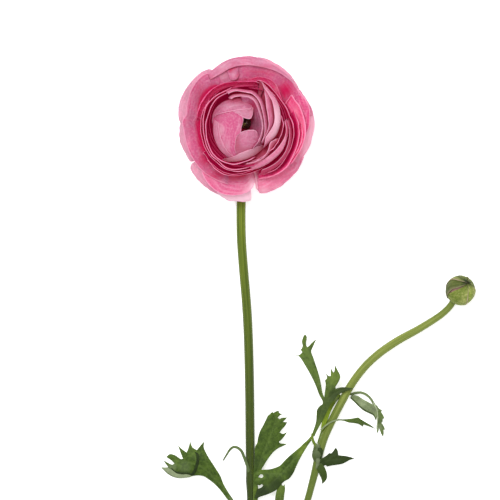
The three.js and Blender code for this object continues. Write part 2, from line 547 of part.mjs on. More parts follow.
const ranunculus = new THREE.Group();
ranunculus.add(
  meshOf("flower_stem", stem(FLOWER_ROUTE, flowerRadius, 10, 44, 1, new THREE.Vector3(1, 0, 0)), green),
  meshOf("bud_stem", stem(BUD_ROUTE, budStemRadius, 10, 40), budStemGreen),
  meshOf("calyx", calyx(), budGreen),
  meshOf("petals", bloom(), pink),
  meshOf("pistil_head", pistilHead(), dark),
  meshOf("bud_sepals", budSepals(), budGreen),
  meshOf("bud_petals", budTurned(BUD_PETALS, 14), budPink),
  meshOf("left_leaf", leafWithPetiole(LEFT_LEAF), leafGreen),
  meshOf("curled_leaf", stem(CURLED_ROUTE, curledRadius, 8, 16, 0.45), leafGreen),
  meshOf("toothed_leaf", bladeOf(TOOTHED_LEAF), leafGreen),
  meshOf("forked_leaf", forkedLeaf(), leafGreen),
  meshOf("clasping_leaf", fuse([sheath(), bladeOf(DARK_LEAF), bladeOf(DROPPED_LOBE)]), leafGreen),
  meshOf("nodding_leaf", leafWithPetiole(NODDING_LEAF, 1, 0.7), leafGreen),
  meshOf("slender_leaf", leafWithPetiole(SLENDER_LEAF, 0.9, 0.6), leafGreen),
  meshOf("low_leaf", leafWithPetiole(LOW_LEAF), leafGreen),
);
ranunculus.position.set(-ORIGIN_X, -ORIGIN_Y, 0);

export default ranunculus;
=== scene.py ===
"""A cut pink ranunculus with its side bud and leaves, lying on a pale table and seen from straight above."""
import itertools
import math
import random

import bpy
import numpy as np
from mathutils.geometry import delaunay_2d_cdt
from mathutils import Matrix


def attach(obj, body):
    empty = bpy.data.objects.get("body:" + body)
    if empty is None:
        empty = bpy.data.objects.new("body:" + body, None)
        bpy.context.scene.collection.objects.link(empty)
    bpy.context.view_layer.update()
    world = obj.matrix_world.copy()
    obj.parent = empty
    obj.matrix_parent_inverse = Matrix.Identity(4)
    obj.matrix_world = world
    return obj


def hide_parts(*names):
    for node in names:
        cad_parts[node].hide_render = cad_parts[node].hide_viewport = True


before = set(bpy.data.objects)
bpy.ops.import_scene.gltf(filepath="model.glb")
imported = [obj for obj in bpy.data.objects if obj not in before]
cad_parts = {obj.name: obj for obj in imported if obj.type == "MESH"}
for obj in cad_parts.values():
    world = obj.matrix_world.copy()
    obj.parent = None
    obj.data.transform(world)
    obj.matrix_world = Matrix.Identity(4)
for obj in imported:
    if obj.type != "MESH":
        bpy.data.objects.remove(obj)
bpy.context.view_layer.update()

MM = 0.001
UP = np.array([0, 0, 1.0])
PICTURE_DOTS = 500  # across and down
PICTURE_MIDDLE = 249.5
CAMERA_HEIGHT = 3000.0  # mm above the table
SENSOR_WIDTH = 36.0
MM_PER_DOT = 0.56  # one dot of the picture, at the table
AIM = (-38.08, 85.78)  # the point of the table under the camera
AXIS = np.array([-40.0, 156.1, 0.0])  # the bloom's axis, from which the stems and leaves are set out
BLOOM_FOOT = 18.5  # where the petals start above the table
CURVE_STEPS = 17  # from one point of a smooth curve to the next


# ---- Curves and noise ----

def seen(x, y, z):
    """The point at height z that the camera sees at a dot of the picture."""
    shrink = MM_PER_DOT * (1 - z / CAMERA_HEIGHT)
    return AIM[0] + (x - PICTURE_MIDDLE) * shrink, AIM[1] - (y - PICTURE_MIDDLE) * shrink, z


def smooth_path(points, count):
    """A smooth curve through the points, as count points evenly spaced along it."""
    points = np.array(points, float)
    gaps = np.maximum(np.linalg.norm(np.diff(points, axis=0), axis=1), 1e-6) ** 0.5
    knots = np.concatenate([[0], np.cumsum(gaps)])
    ends = np.vstack([2 * points[0] - points[1], points, 2 * points[-1] - points[-2]])
    times = np.concatenate([[-gaps[0]], knots, [knots[-1] + gaps[-1]]])
    fine = []
    for k in range(len(points) - 1):
        p, t = ends[k:k + 4], times[k:k + 4]
        slope_a = (p[2] - p[0]) / (t[2] - t[0])
        slope_b = (p[3] - p[1]) / (t[3] - t[1])
        width = t[2] - t[1]
        s = np.linspace(0, 1, CURVE_STEPS)[:, None]
        fine.append(
            (2 * s**3 - 3 * s**2 + 1) * p[1] + (s**3 - 2 * s**2 + s) * width * slope_a
            + (3 * s**2 - 2 * s**3) * p[2] + (s**3 - s**2) * width * slope_b
        )
    fine = np.vstack([f if k == 0 else f[1:] for k, f in enumerate(fine)])
    return evenly(fine, count)


def evenly(points, count):
    """count points at equal steps along a line of points."""
    steps = np.concatenate([[0], np.cumsum(np.linalg.norm(np.diff(points, axis=0), axis=1))])
    wanted = np.linspace(0, steps[-1], count)
    return np.stack([np.interp(wanted, steps, points[:, k]) for k in range(points.shape[1])], axis=1)


def ripple(draw, x, waves, low, high):
    """A gentle random wave of x, about one high: so many sines with pitches from low to high."""
    total = np.zeros_like(x)
    for _ in range(waves):
        pitch = draw.uniform(low, high)
        total = total + np.sin(x * pitch + draw.uniform(0, 2 * math.pi)) / math.sqrt(waves)
    return total


def smoothstep(x, low, high):
    """0 at low and 1 at high, smooth between. low may be the larger."""
    s = np.clip((x - low) / (high - low), 0, 1)
    return s * s * (3 - 2 * s)


# ---- Meshes ----

class Growth:
    """Vertices, faces and per-vertex traits that gather into one piece."""

    def __init__(self):
        self.points, self.faces, self.traits, self.count = [], [], {}, 0

    def add(self, points, faces, **traits):
        """faces is a list of index arrays, each of faces with the same number of corners."""
        number = len(points)
        for name in dict.fromkeys([*self.traits, *traits]):
            before = self.traits.setdefault(name, [np.zeros(self.count)])
            before.append(np.broadcast_to(np.asarray(traits.get(name, 0.0), float), (number,)))
        self.points.append(points)
        self.faces += [np.asarray(f, int) + self.count for f in faces if len(f)]
        self.count += number

    def piece(self, name, finish, slot, *nodes):
        """Makes the object: it rides on the frame, takes the finish and stands for CAD nodes. slot is not
        used.
        """
        points = np.vstack(self.points) * MM
        loops = np.concatenate([f.ravel() for f in self.faces])
        sizes = np.concatenate([np.full(len(f), f.shape[1]) for f in self.faces])
        starts = np.concatenate([[0], np.cumsum(sizes)[:-1]])
        mesh = bpy.data.meshes.new(name)
        mesh.vertices.add(len(points))
        mesh.vertices.foreach_set("co", points.astype(np.float32).ravel())
        mesh.loops.add(len(loops))
        mesh.loops.foreach_set("vertex_index", loops.astype(np.int32))
        mesh.polygons.add(len(sizes))
        mesh.polygons.foreach_set("loop_start", starts.astype(np.int32))
        mesh.update(calc_edges=True)
        mesh.validate()
        mesh.polygons.foreach_set("use_smooth", np.ones(len(mesh.polygons), bool))
        for trait, values in self.traits.items():
            layer = mesh.attributes.new(trait, "FLOAT", "POINT")
            layer.data.foreach_set("value", np.concatenate(values).astype(np.float32))
        mesh.materials.append(finish.material)
        made = bpy.data.objects.new(name, mesh)
        bpy.context.scene.collection.objects.link(made)
        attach(made, "root")
        if nodes:
            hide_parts(*nodes)


def grid_quads(rows, columns, wrap=False):
    """The quads of a grid of vertices, stored row by row."""
    at = np.arange(rows * columns).reshape(rows, columns)
    if wrap:
        at = np.hstack([at, at[:, :1]])
    return np.stack([at[:-1, :-1], at[:-1, 1:], at[1:, 1:], at[1:, :-1]], axis=-1).reshape(-1, 4)


def unit(vectors):
    return vectors / np.maximum(np.linalg.norm(vectors, axis=-1, keepdims=True), 1e-9)


def facing_of(sheet):
    """The direction that a grid of points faces at each of them."""
    return unit(np.cross(np.gradient(sheet, axis=1), np.gradient(sheet, axis=0)))


def grow_sheet(growth, middle, thickness, **traits):
    """A thin closed sheet about its middle surface, a grid of rows along it and columns across it."""
    rows, columns = middle.shape[:2]
    normal = facing_of(middle)
    half = np.broadcast_to(thickness, (rows, columns))[..., None] / 2
    points = np.vstack([(middle + normal * half).reshape(-1, 3), (middle - normal * half).reshape(-1, 3)])
    at = np.arange(rows * columns).reshape(rows, columns)
    front = grid_quads(rows, columns)
    back = front[:, ::-1] + rows * columns
    rim = np.concatenate([at[0, :-1], at[:-1, -1], at[-1, :0:-1], at[:0:-1, 0]])
    after = np.roll(rim, -1)
    wall = np.stack([rim, rim + rows * columns, after + rows * columns, after], axis=1)
    along = np.broadcast_to(np.linspace(0, 1, rows)[:, None], (rows, columns)).ravel()
    across = np.broadcast_to(np.linspace(-1, 1, columns), (rows, columns)).ravel()
    side = np.repeat([1.0, 0.0], rows * columns)
    doubled = {k: np.tile(np.broadcast_to(v, (rows, columns)).ravel(), 2) for k, v in traits.items()}
    growth.add(
        points, [front, back, wall],
        along=np.tile(along, 2), across=np.tile(across, 2), inner=side, **doubled,
    )


GROOVES = 9  # round each stem


def grow_tube(growth, path, radius, sides=20, ribs=0.0, flat=1.0, upright=(0, 0, 1), **traits):
    """A closed stem along a path of points, each with its radius. ribs is the depth of its grooves.

    Gives the path, the directions to its side and its top at each point, and the radius there.
    """
    steps = len(path)

    def by_ring(values):
        values = np.broadcast_to(values, (steps,))
        return np.concatenate([np.repeat(values, sides), [values[0], values[-1]]])

    tangent = unit(np.gradient(path, axis=0))
    across = unit(np.cross(tangent, np.broadcast_to(np.array(upright, float), tangent.shape)))
    top = np.cross(across, tangent)
    turn = np.linspace(0, 2 * math.pi, sides, endpoint=False)
    radius = np.broadcast_to(radius, (steps,))[:, None] * (1 + ribs * np.cos(turn * GROOVES)[None, :])
    level, rise = np.cos(turn)[None, :, None], flat * np.sin(turn)[None, :, None]
    ring = path[:, None, :] + radius[..., None] * (level * across[:, None, :] + rise * top[:, None, :])
    points = np.vstack([ring.reshape(-1, 3), path[:1] - tangent[:1] * 0.1, path[-1:] + tangent[-1:] * 0.1])
    first, last = np.arange(sides), np.arange(sides) + (steps - 1) * sides
    fan = np.full(sides, steps * sides)
    caps = np.vstack([
        np.stack([fan, np.roll(first, -1), first], axis=1),
        np.stack([fan + 1, last, np.roll(last, -1)], axis=1),
    ])
    traits = {name: by_ring(values) for name, values in traits.items()}
    around = np.concatenate([np.tile(turn, steps), [0, 0]])
    growth.add(
        points, [grid_quads(steps, sides, wrap=True), caps], along=by_ring(np.linspace(0, 1, steps)),
        across=around, **traits,
    )
    return path, across, top, radius[:, 0]


# ---- Finishes ----

class Dab:
    """A value in a finish's node tree. Adding to it, taking from it or multiplying it adds a Math node."""

    def __init__(self, finish, socket):
        self.finish, self.socket = finish, socket

    def math(self, operation, *values):
        return self.finish.node("ShaderNodeMath", {"operation": operation}, dict(enumerate(values)))

    def __add__(self, other):
        return self.math("ADD", self, other)

    def __sub__(self, other):
        return self.math("SUBTRACT", self, other)

    def __rsub__(self, other):
        return self.math("SUBTRACT", other, self)

    def __mul__(self, other):
        return self.math("MULTIPLY", self, other)

    __radd__ = __add__
    __rmul__ = __mul__


class Finish:
    """A procedural material with one Principled shader."""

    def __init__(self, name, **constants):
        self.material = bpy.data.materials.new(name)
        self.material.use_nodes = True
        self.tree = self.material.node_tree
        self.tree.nodes.clear()
        self.shader = self.tree.nodes.new("ShaderNodeBsdfPrincipled")
        self.output = self.tree.nodes.new("ShaderNodeOutputMaterial")
        self.tree.links.new(self.shader.outputs[0], self.output.inputs[0])
        for socket, value in constants.items():
            self.shader.inputs[socket.replace("_", " ")].default_value = value

    def node(self, kind, settings=None, values=None, out=0):
        """Adds a node of this type with its settings and its sockets' values or links. Gives one output."""
        made = self.tree.nodes.new(kind)
        for key, value in (settings or {}).items():
            setattr(made, key, value)
        for key, value in (values or {}).items():
            if isinstance(value, Dab):
                self.tree.links.new(value.socket, made.inputs[key])
            else:
                made.inputs[key].default_value = value
        return Dab(self, made.outputs[out])

    def feed(self, socket, dab):
        self.tree.links.new(dab.socket, self.shader.inputs[socket])

    def trait(self, name):
        """What the mesh says at each point, such as how far it is from the rim."""
        return self.node("ShaderNodeAttribute", {"attribute_name": name}, out="Fac")

    def place(self):
        return self.node("ShaderNodeTexCoord", out="Object")

    def vector(self, x, y, z):
        return self.node("ShaderNodeCombineXYZ", {}, {0: x, 1: y, 2: z})

    def noise(self, vector, scale, detail=3.0, rough=0.55):
        return self.node(
            "ShaderNodeTexNoise", {}, {"Vector": vector, "Scale": scale, "Detail": detail, "Roughness": rough}
        )

    def ease(self, value, low, high):
        """0 below low and 1 above high, smooth between."""
        values = {0: value, 1: low, 2: high, 3: 0.0, 4: 1.0}
        return self.node("ShaderNodeMapRange", {"interpolation_type": "SMOOTHSTEP"}, values)

    def mix(self, under, over, share):
        """One colour laid over another, by a share from 0 to 1."""
        return self.node("ShaderNodeMix", {"data_type": "RGBA"}, {0: share, 6: under, 7: over}, out=2)

    def raise_by(self, height, distance):
        """Bumps the surface by height times distance, in mm."""
        values = {"Height": height, "Distance": distance * MM, "Strength": 1.0}
        self.feed("Normal", self.node("ShaderNodeBump", {}, values, out="Normal"))

    def glow_through(self, colour, share):
        """Lets light through the sheet: share of the surface is a Translucent shader of this colour."""
        through = self.node("ShaderNodeBsdfTranslucent", {}, {"Color": colour})
        surface = Dab(self, self.shader.outputs[0])
        both = self.node("ShaderNodeMixShader", {}, {0: share, 1: surface, 2: through})
        self.tree.links.new(both.socket, self.output.inputs[0])


def paint(red, green, blue):
    """A colour given as it shows on screen, 0 to 255, as the node's linear colour."""
    parts = [c / 255 for c in (red, green, blue)]
    return (*(p / 12.92 if p < 0.04045 else ((p + 0.055) / 1.055) ** 2.4 for p in parts), 1.0)


THIN_PINK = paint(255, 226, 238)  # painted light where it shines through a petal, and painted highlights
DUSK_MAUVE = paint(150, 92, 112)  # where other petals shade it
FRESH_GREEN = paint(166, 192, 58)
DEEP_GREEN = paint(30, 44, 16)
LIGHT_SPOT, DARK_SPOT = paint(226, 218, 150), paint(70, 92, 22)
CUT_GREEN = paint(196, 205, 160)

def petal_finish(name, dusty, vivid, crimson, rim, glow, flush, clouds):
    """Silky petal: soft bands along its rim, streaks down it, a crimson foot of painted gap shade that glows
    with painted light, and a thin pale rim, partly a painted highlight.

    flush is a faint glow of the whole petal by emission, painted light, and clouds how much its pale bands
    lighten it.
    """
    f = Finish(name, Specular_IOR_Level=0.08, Emission_Strength=0.19)
    number, inner, pale, blush = f.trait("number"), f.trait("inner"), f.trait("pale"), f.trait("blush")
    drift = f.noise(f.place(), 45.0, 2.0)
    across, along = f.trait("across") + drift * 0.25, f.trait("along") + drift * 0.2
    rim_gap = f.trait("gap")
    gap = rim_gap + drift * 9.0
    veins = f.noise(f.vector(across * 34.0, along * 1.6, number * 7.37 + 0.4), 1.0, 4.0, 0.62)
    streaks = f.noise(f.vector(across * 9.0, along * 1.5, number * 1.93 + 0.3), 1.0, 4.0, 0.6)
    bands = f.noise(f.vector(across * 1.5, gap * 0.8, number * 3.71 + 0.45), 1.0, 4.0, 0.6)
    blotch = f.noise(f.vector(across * 3.0, gap * 0.15, number * 5.77 + 0.35), 1.0, 3.0)
    grain = f.noise(f.place(), 900.0, 4.0)
    colour = f.mix(dusty, vivid, f.trait("vivid"))
    colour = f.mix(colour, vivid, f.ease(blotch * 0.5 + streaks * 0.5, 0.44, 0.62) * 0.5)
    colour = f.mix(colour, rim, f.ease(bands * 0.75 + blotch * 0.25, 0.47, 0.64) * clouds)
    fine = veins * 0.15 + grain * 0.85
    colour = f.mix(colour, rim, f.ease(fine, 0.5, 0.62) * 0.26)
    colour = f.mix(colour, crimson, f.ease(fine, 0.49, 0.38) * 0.16)
    # Crimson by depth from the rim: painted shade deep in the gaps between petals, broken by the bands and
    # veins.
    depth = blush + (bands - 0.5) * 1.3 * f.ease(blush, 0.0, 0.25) + (veins - 0.5) * 0.25
    colour = f.mix(colour, crimson, f.ease(depth, 0.0, 1.0))
    colour = f.mix(colour, crimson, f.ease(bands * 0.6 + streaks * 0.3 + grain * 0.1, 0.46, 0.34) * 0.3)
    colour = f.mix(colour, rim, (1 - inner) * 0.12)
    # Painted light: thin pink where light shines through the petal, and painted highlights where pale stains
    # lie.
    colour = f.mix(colour, THIN_PINK, pale)
    # Painted shade: mauve where other petals shade it.
    colour = f.mix(colour, DUSK_MAUVE, f.trait("dusk"))
    # A pale line along the rim: the petal's own paler edge with a painted highlight on it.
    colour = f.mix(colour, rim, f.ease(rim_gap, 0.7, 0.25) * f.trait("edge"))
    f.feed("Base Color", colour)
    f.feed("Roughness", 0.5 + blotch * 0.2)
    # Emission is painted light: a faint glow all over and a crimson glow deep in the gaps, for light bounced
    # between petals.
    f.feed("Emission Color", f.mix(flush, glow, f.ease(depth, 0.2, 1.0)))
    f.raise_by(veins * 0.15 + bands * 0.6 + grain * 0.25, 0.13)
    f.glow_through(f.mix(colour, vivid, (1 - pale) * 0.4), 0.38)
    return f


def leaf_finish(name, dark, light, vein, under, mottled, spots=0.0):
    """Leaf blade: mottled green, faint sunk veins, a pale underside, darker parts with painted shade in its
    folds and fresh yellow-green parts.

    spots is how strongly dark spots stand out on it, and light ones on its fresh parts.
    """
    f = Finish(name, Specular_IOR_Level=0.22)
    place = f.place()
    mottle = f.noise(place, 420.0, 4.0)
    grain = f.noise(place, 1500.0, 2.0)
    streak = f.noise(place, 90.0, 2.0)
    colour = f.mix(dark, light, 0.15 + f.ease(mottle * 0.6 + streak * 0.4, 0.36, 0.68) * mottled)
    speckle = f.noise(place, 800.0, 3.0, 0.7)
    colour = f.mix(colour, light, f.ease(speckle, 0.5, 0.62) * mottled * 0.45)
    colour = f.mix(colour, vein, f.trait("rib") * 0.28)
    colour = f.mix(colour, light, f.ease(f.trait("margin"), 0.55, 0.0) * 0.4)
    colour = f.mix(colour, FRESH_GREEN, f.trait("fresh") * (0.6 + mottle * 0.6))
    # Darker green: partly the leaf's own, partly painted shade in its folds and under the dark sheets laid as
    # shadow.
    colour = f.mix(colour, DEEP_GREEN, f.trait("deep") * (0.5 + mottle * 0.8))
    colour = f.mix(colour, under, f.trait("pale") * (0.6 + mottle * 0.6))
    if spots:
        spot = f.noise(place, 620.0, 4.0, 0.7)
        colour = f.mix(colour, LIGHT_SPOT, f.ease(spot, 0.51, 0.64) * f.trait("fresh") * (spots * 2.0))
        colour = f.mix(colour, DARK_SPOT, f.ease(spot, 0.47, 0.36) * (spots * 0.8))
    f.feed("Base Color", colour)
    f.feed("Roughness", 0.5 + grain * 0.25)
    f.raise_by(grain * 0.35 + mottle * 0.65 - f.trait("rib") * 0.35, 0.25)
    f.glow_through(f.mix(colour, light, 0.5), 0.12)
    return f


def stem_finish(name, dark, light, worn):
    """Stem skin: long streaks, a worn lower part and a sheen as of fine hairs."""
    f = Finish(name, Specular_IOR_Level=0.25, Sheen_Weight=0.08, Sheen_Roughness=0.45)
    around, along = f.trait("across"), f.trait("along")
    round_x = f.node("ShaderNodeMath", {"operation": "COSINE"}, {0: around})
    round_y = f.node("ShaderNodeMath", {"operation": "SINE"}, {0: around})
    streak = f.noise(f.vector(round_x * 5.0, round_y * 5.0, along * 9.0), 1.0, 4.0)
    fine = f.noise(f.place(), 1400.0, 3.0)
    colour = f.mix(dark, light, f.ease(streak, 0.35, 0.7))
    colour = f.mix(colour, worn, f.trait("low") * 0.85)
    colour = f.mix(colour, light, f.ease(fine, 0.55, 0.75) * 0.35)
    colour = f.mix(colour, CUT_GREEN, f.trait("cut"))
    f.feed("Base Color", colour)
    f.feed("Roughness", 0.45 + fine * 0.3)
    f.raise_by(streak * 0.5 + fine * 0.5, 0.12)
    return f


def carpel_finish():
    """Carpels: nearly black with brown mottling, lighter at the tip and green on one side of the cone."""
    f = Finish("carpels", Specular_IOR_Level=0.5)
    grain = f.noise(f.place(), 900.0, 4.0)
    colour = f.mix(paint(22, 8, 10), paint(104, 54, 48), f.ease(grain, 0.4, 0.7))
    colour = f.mix(colour, paint(112, 70, 58), f.trait("tip") * 0.5)
    colour = f.mix(colour, paint(176, 178, 96), f.trait("green"))
    f.feed("Base Color", colour)
    f.feed("Roughness", 0.35 + grain * 0.3)
    f.raise_by(grain, 0.15)
    return f


OUTER_PINK = petal_finish(
    "outer_petal_pink", paint(208, 126, 164), paint(236, 88, 152), paint(202, 22, 90), paint(250, 194, 222),
    paint(186, 0, 66), paint(70, 2, 34), 0.45
)
DEEP_PINK = petal_finish(
    "middle_petal_pink", paint(238, 84, 150), paint(244, 84, 154), paint(194, 22, 92), paint(254, 192, 222),
    paint(192, 8, 82), paint(140, 10, 86), 0.26
)
HEART_PINK = petal_finish(
    "heart_petal_pink", paint(204, 106, 148), paint(232, 90, 150), paint(182, 16, 80), paint(255, 198, 224),
    paint(180, 0, 66), paint(70, 2, 34), 0.4
)
LEAF_GREEN = leaf_finish(
    "leaf_green", paint(46, 68, 18), paint(96, 122, 44), paint(116, 138, 70), paint(172, 184, 146),
    mottled=0.72
)
LONG_STEM = stem_finish("long_stem_green", paint(80, 100, 18), paint(122, 138, 30), paint(30, 47, 5))
SIDE_STEM = stem_finish("side_stem_green", paint(106, 121, 47), paint(146, 157, 74), paint(84, 103, 34))
SEPAL_GREEN = leaf_finish(
    "sepal_green", paint(88, 104, 40), paint(156, 166, 86), paint(86, 102, 46), paint(202, 174, 156),
    mottled=0.85, spots=0.5
)
BUD_PINK = petal_finish(
    "bud_petal_mauve", paint(168, 120, 116), paint(196, 148, 140), paint(120, 70, 76), paint(214, 180, 160),
    paint(0, 0, 0), paint(0, 0, 0), 0.5
)
CARPELS = carpel_finish()


# ---- The bloom ----

HUB = np.array([246.1, 122.6])  # the bloom's axis in the picture, 40 mm up

# How a petal grows. Its grid has so many columns and rows. Its ends are led on round the bloom by so many
# degrees and fall by so many mm, or are blunt where they are not led on. It tilts from end to end, sags
# towards its ends and ruffles, and its lip rolls out. The range where it turns crimson, in mm from the rim,
# is painted shade deep in the gaps between petals. pale, vivid, edge and a painted mauve shade tone it and
# its
# rim: pale is painted light shining through it and, in stains, painted highlights. A stain is (x, y, across,
# down, what, amount), in dots.
PLAIN_HABIT = {"tilt": 0.0, "lip": 0.0, "pale": 0.0, "dusk": 0.0, "vivid": None, "thick": 0.26, "edge": 0.85,
               "blunt": 1.6, "stains": ()}
# What each form adds. root is how far its roots keep apart, how far from the axis and how high they stand. Of
# a petal that bends in, belly is how far below the rim its widest line lies, low and dome are the heights of
# its two bends, and swell is how much it bulges.
HABITS = {
    "guard": {"columns": 56, "rows": 30, "ends": (4, 4), "fall": 1.5, "sag": 1.2, "ruffle": 0.3,
              "blush": (6, 17), "root": (0.35, 9, 1.6)},
    "spread": {"columns": 56, "rows": 30, "ends": (6, 6), "fall": 2.5, "sag": 1.2, "ruffle": 0.3,
               "blush": (3.5, 12), "root": (0.35, 9, 4.2)},
    "curl": {"columns": 64, "rows": 34, "ends": (4, 4), "fall": 3.0, "sag": 1.0, "ruffle": 0.25,
             "blush": (9, 16), "root": (0.35, 9, 2.6), "belly": 3, "low": 4.5, "swell": 1.0, "dome": 1.0},
    "cup": {"columns": 64, "rows": 30, "ends": (12, 12), "fall": 9.0, "sag": 1.2, "ruffle": 0.25, "lip": 0.5,
            "blush": (0.1, 1.3), "root": (0.3, 7, 5.5)},
    "heart": {"columns": 60, "rows": 36, "ends": (10, 10), "fall": 8.0, "sag": 0.6, "ruffle": 0.2, "lip": 0.3,
              "blush": (1, 5.5), "root": (0.3, 6, 12), "belly": 9, "low": 13, "swell": 1.0, "dome": -0.6},
    "ball": {"columns": 56, "rows": 40, "ends": (3, 3), "fall": 0.0, "sag": 0.0, "ruffle": 0.1,
             "blush": (14, 24), "thick": 0.22},
    "wall": {"columns": 50, "rows": 26, "ends": (0, 0), "fall": 0.0, "sag": 0.4, "ruffle": 0.15,
             "blush": (0.5, 9)},
}
WALL_FOOT = 40.0  # how high the wall of the hole stands above the table
CORNER = 7.0  # mm of rim that the rounding of a petal's corner takes


def rib_surface(roots, lows, highs, rims, rows, rounding):
    """Curves from the root to the rim, closer rows near the rim, bent by the two rows of points between.

    The curves stop short of the rim by rounding at each end of the petal, which rounds its corners.
    """
    steps = np.concatenate([[0], np.cumsum(np.linalg.norm(np.diff(rims, axis=0), axis=1))])
    corner = np.clip(1 - np.minimum(steps, steps[-1] - steps) / CORNER, 0, 1)**2
    t = (1 - (1 - np.linspace(0, 1, rows)[:, None, None])**1.5) * (1 - rounding * corner)[None, :, None]
    return (1 - t)**3 * roots + 3 * t * (1 - t)**2 * lows + 3 * t * t * (1 - t) * highs + t**3 * rims


def outward(points):
    """The direction from the bloom's axis to each point, flat, and its distance."""
    away = points[:, :2] - AXIS[:2]
    distance = np.linalg.norm(away, axis=1, keepdims=True)
    return np.hstack([away / np.maximum(distance, 1e-6), np.zeros((len(points), 1))]), distance


def gathered(directions, share):
    """Directions drawn together towards their middle one."""
    middle = unit(directions.mean(axis=0))
    return unit(directions * share + middle * (1 - share))


RIM_POINTS, SLOPE_POINTS, LEAD_POINTS = 90, 8, 14  # along a rim line, for its slope at an end, and led on
STEEPEST = 22  # dots in or out for each radian that an end is led on


def carried_on(rim, columns, ends):
    """A line led on round the bloom at both ends, so that they tuck under the neighbours.

    Gives its points, their place on the line itself from -1 to 1, how far each is into a led-on end, and how
    near it is to an end that is not led on.
    """
    line = smooth_path(rim, RIM_POINTS)
    away = line - HUB
    angle, reach = np.unwrap(np.arctan2(away[:, 1], away[:, 0])), np.hypot(away[:, 0], away[:, 1])
    way = math.copysign(1, angle[-1] - angle[0])
    leads, lengths = [], []
    for end, near, sign in ((0, SLOPE_POINTS, -way), (-1, -1 - SLOPE_POINTS, way)):
        turn = math.radians(ends[end])
        change = (reach[end] - reach[near]) / max(abs(angle[end] - angle[near]), 0.03)
        s = np.linspace(0, 1, LEAD_POINTS)[1:]
        r = reach[end] + np.clip(change, -STEEPEST, STEEPEST) * turn * (s - s * s / 2)
        a = angle[end] + sign * turn * s
        leads.append(HUB + np.stack([r * np.cos(a), r * np.sin(a)], axis=1) if turn else np.zeros((0, 2)))
        track = np.vstack([line[end], leads[-1]])
        lengths.append(np.linalg.norm(np.diff(track, axis=0), axis=1).sum())
    whole = np.vstack([leads[0][::-1], line, leads[1]])
    total = np.linalg.norm(np.diff(whole, axis=0), axis=1).sum()
    body = total - sum(lengths)
    s = np.linspace(0, total, columns)
    before, after = (lengths[0] - s) / max(lengths[0], 1e-6), (s - lengths[0] - body) / max(lengths[1], 1e-6)
    into = np.maximum(before, after)
    place = (s - lengths[0]) / body * 2 - 1
    cut_ends = [gap for gap, turn in ((s, ends[0]), (total - s, ends[1])) if not turn]
    blunt = sum(np.clip(1 - gap / 3, 0, 1) ** 2 for gap in cut_ends)
    return evenly(whole, columns), way * place, np.clip(into, 0, 1), blunt


BALL_MIDDLE, BALL_REACH = (237, 128), (26.5, 32)  # in dots of the picture
HOLE_MIDDLE, HOLE_REACH = (246, 124.5), (5.5, 8)
BALL_TOP, HOLE_DEPTH, LAYER_GAP = 48.6, 2.2, 0.42  # mm


def ball_height(x, y, layer):
    """The ball in the middle of the bloom: its height at a dot of the picture, with a dip at its hole."""
    out = ((x - BALL_MIDDLE[0]) / BALL_REACH[0]) ** 2 + ((y - BALL_MIDDLE[1]) / BALL_REACH[1]) ** 2
    hole = ((x - HOLE_MIDDLE[0]) / HOLE_REACH[0]) ** 2 + ((y - HOLE_MIDDLE[1]) / HOLE_REACH[1]) ** 2
    return BALL_TOP + LAYER_GAP * layer - 1.5 * out - 7.0 * out**2 - HOLE_DEPTH * np.exp(-hole)


def dots_of(points):
    """Where the camera sees points, in dots of the picture."""
    shrink = MM_PER_DOT * (1 - points[..., 2] / CAMERA_HEIGHT)
    right, up = (points[..., 0] - AIM[0]) / shrink, (points[..., 1] - AIM[1]) / shrink
    return PICTURE_MIDDLE + right, PICTURE_MIDDLE - up


def on_ball(wide_line, rim_line, layer, rows):
    """A petal laid on the ball from its widest line to its rim, with a skirt that goes down inside."""
    skirt = int(rows * 0.3)
    wide = np.stack(seen(*wide_line.T, ball_height(*wide_line.T, layer)), axis=1)
    root = AXIS + unit(wide - AXIS) * [5, 5, 0] + [0, 0, BLOOM_FOOT + 12]
    s = np.linspace(0, 1, skirt, endpoint=False)[:, None, None]
    below = (1 - s)**2 * root + 2 * s * (1 - s) * (wide - [0, 0, 8]) + s * s * wide
    s = np.linspace(0, 1, rows - skirt)[:, None]
    x = wide_line[:, 0] * (1 - s) + rim_line[:, 0] * s
    y = wide_line[:, 1] * (1 - s) + rim_line[:, 1] * s
    z = ball_height(x, y, layer) + 0.3 * s**6
    return np.vstack([below, np.stack(seen(x, y, z), axis=-1)])


def petal_curves(form, habit, rims, heights, wide_line):
    """The roots of a petal's curves, and the two rows of points that bend them on their way to the rim."""
    directions, distance = outward(rims)
    centre = AXIS * [1, 1, 0]
    if form == "wall":
        inner_line = np.stack(seen(*wide_line.T, np.full(len(rims), WALL_FOOT)), axis=1)
        roots = inner_line + (AXIS + [0, 0, WALL_FOOT - 7] - inner_line) * [0.3, 0.3, 1]
        return roots, inner_line, inner_line * 0.45 + rims * 0.55 - [0, 0, 1.2]
    if form in ("curl", "heart"):
        middle = np.stack(seen(*wide_line.T, heights - habit["belly"]), axis=1)
        directions = outward(middle)[0]
    apart, reach, height = habit["root"]
    roots = centre + gathered(directions, apart) * reach + [0, 0, BLOOM_FOOT + height]
    if form in ("curl", "heart"):
        swell = middle + (middle - (roots + rims) / 2) / 3 * habit["swell"]
        lows, highs = swell.copy(), swell.copy()
        lows[:, 2] = BLOOM_FOOT + habit["low"]
        highs[:, 2] = heights + habit["dome"]
    elif form == "guard":
        lows = centre + gathered(directions, 0.8) * 20 + [0, 0, BLOOM_FOOT + 4.6]
        highs = centre + directions * (distance - 2.0)
        highs[:, 2] = heights + 5.5
    elif form == "spread":
        low = BLOOM_FOOT + 5.4
        lows = centre + gathered(directions, 0.8) * np.minimum(20, distance * 0.7) + [0, 0, low]
        highs = centre + directions * (distance * 0.97)
        highs[:, 2] = low + (heights - low) * 0.35
    else:
        low = BLOOM_FOOT + 5.5
        lows = centre + gathered(directions, 0.85) * (distance * 0.9) + [0, 0, low]
        highs = centre + directions * (distance * 1.03 + 1.0)
        highs[:, 2] = low + (heights - low) * 0.5
    return roots, lows, highs


petal_numbers = itertools.count(1)


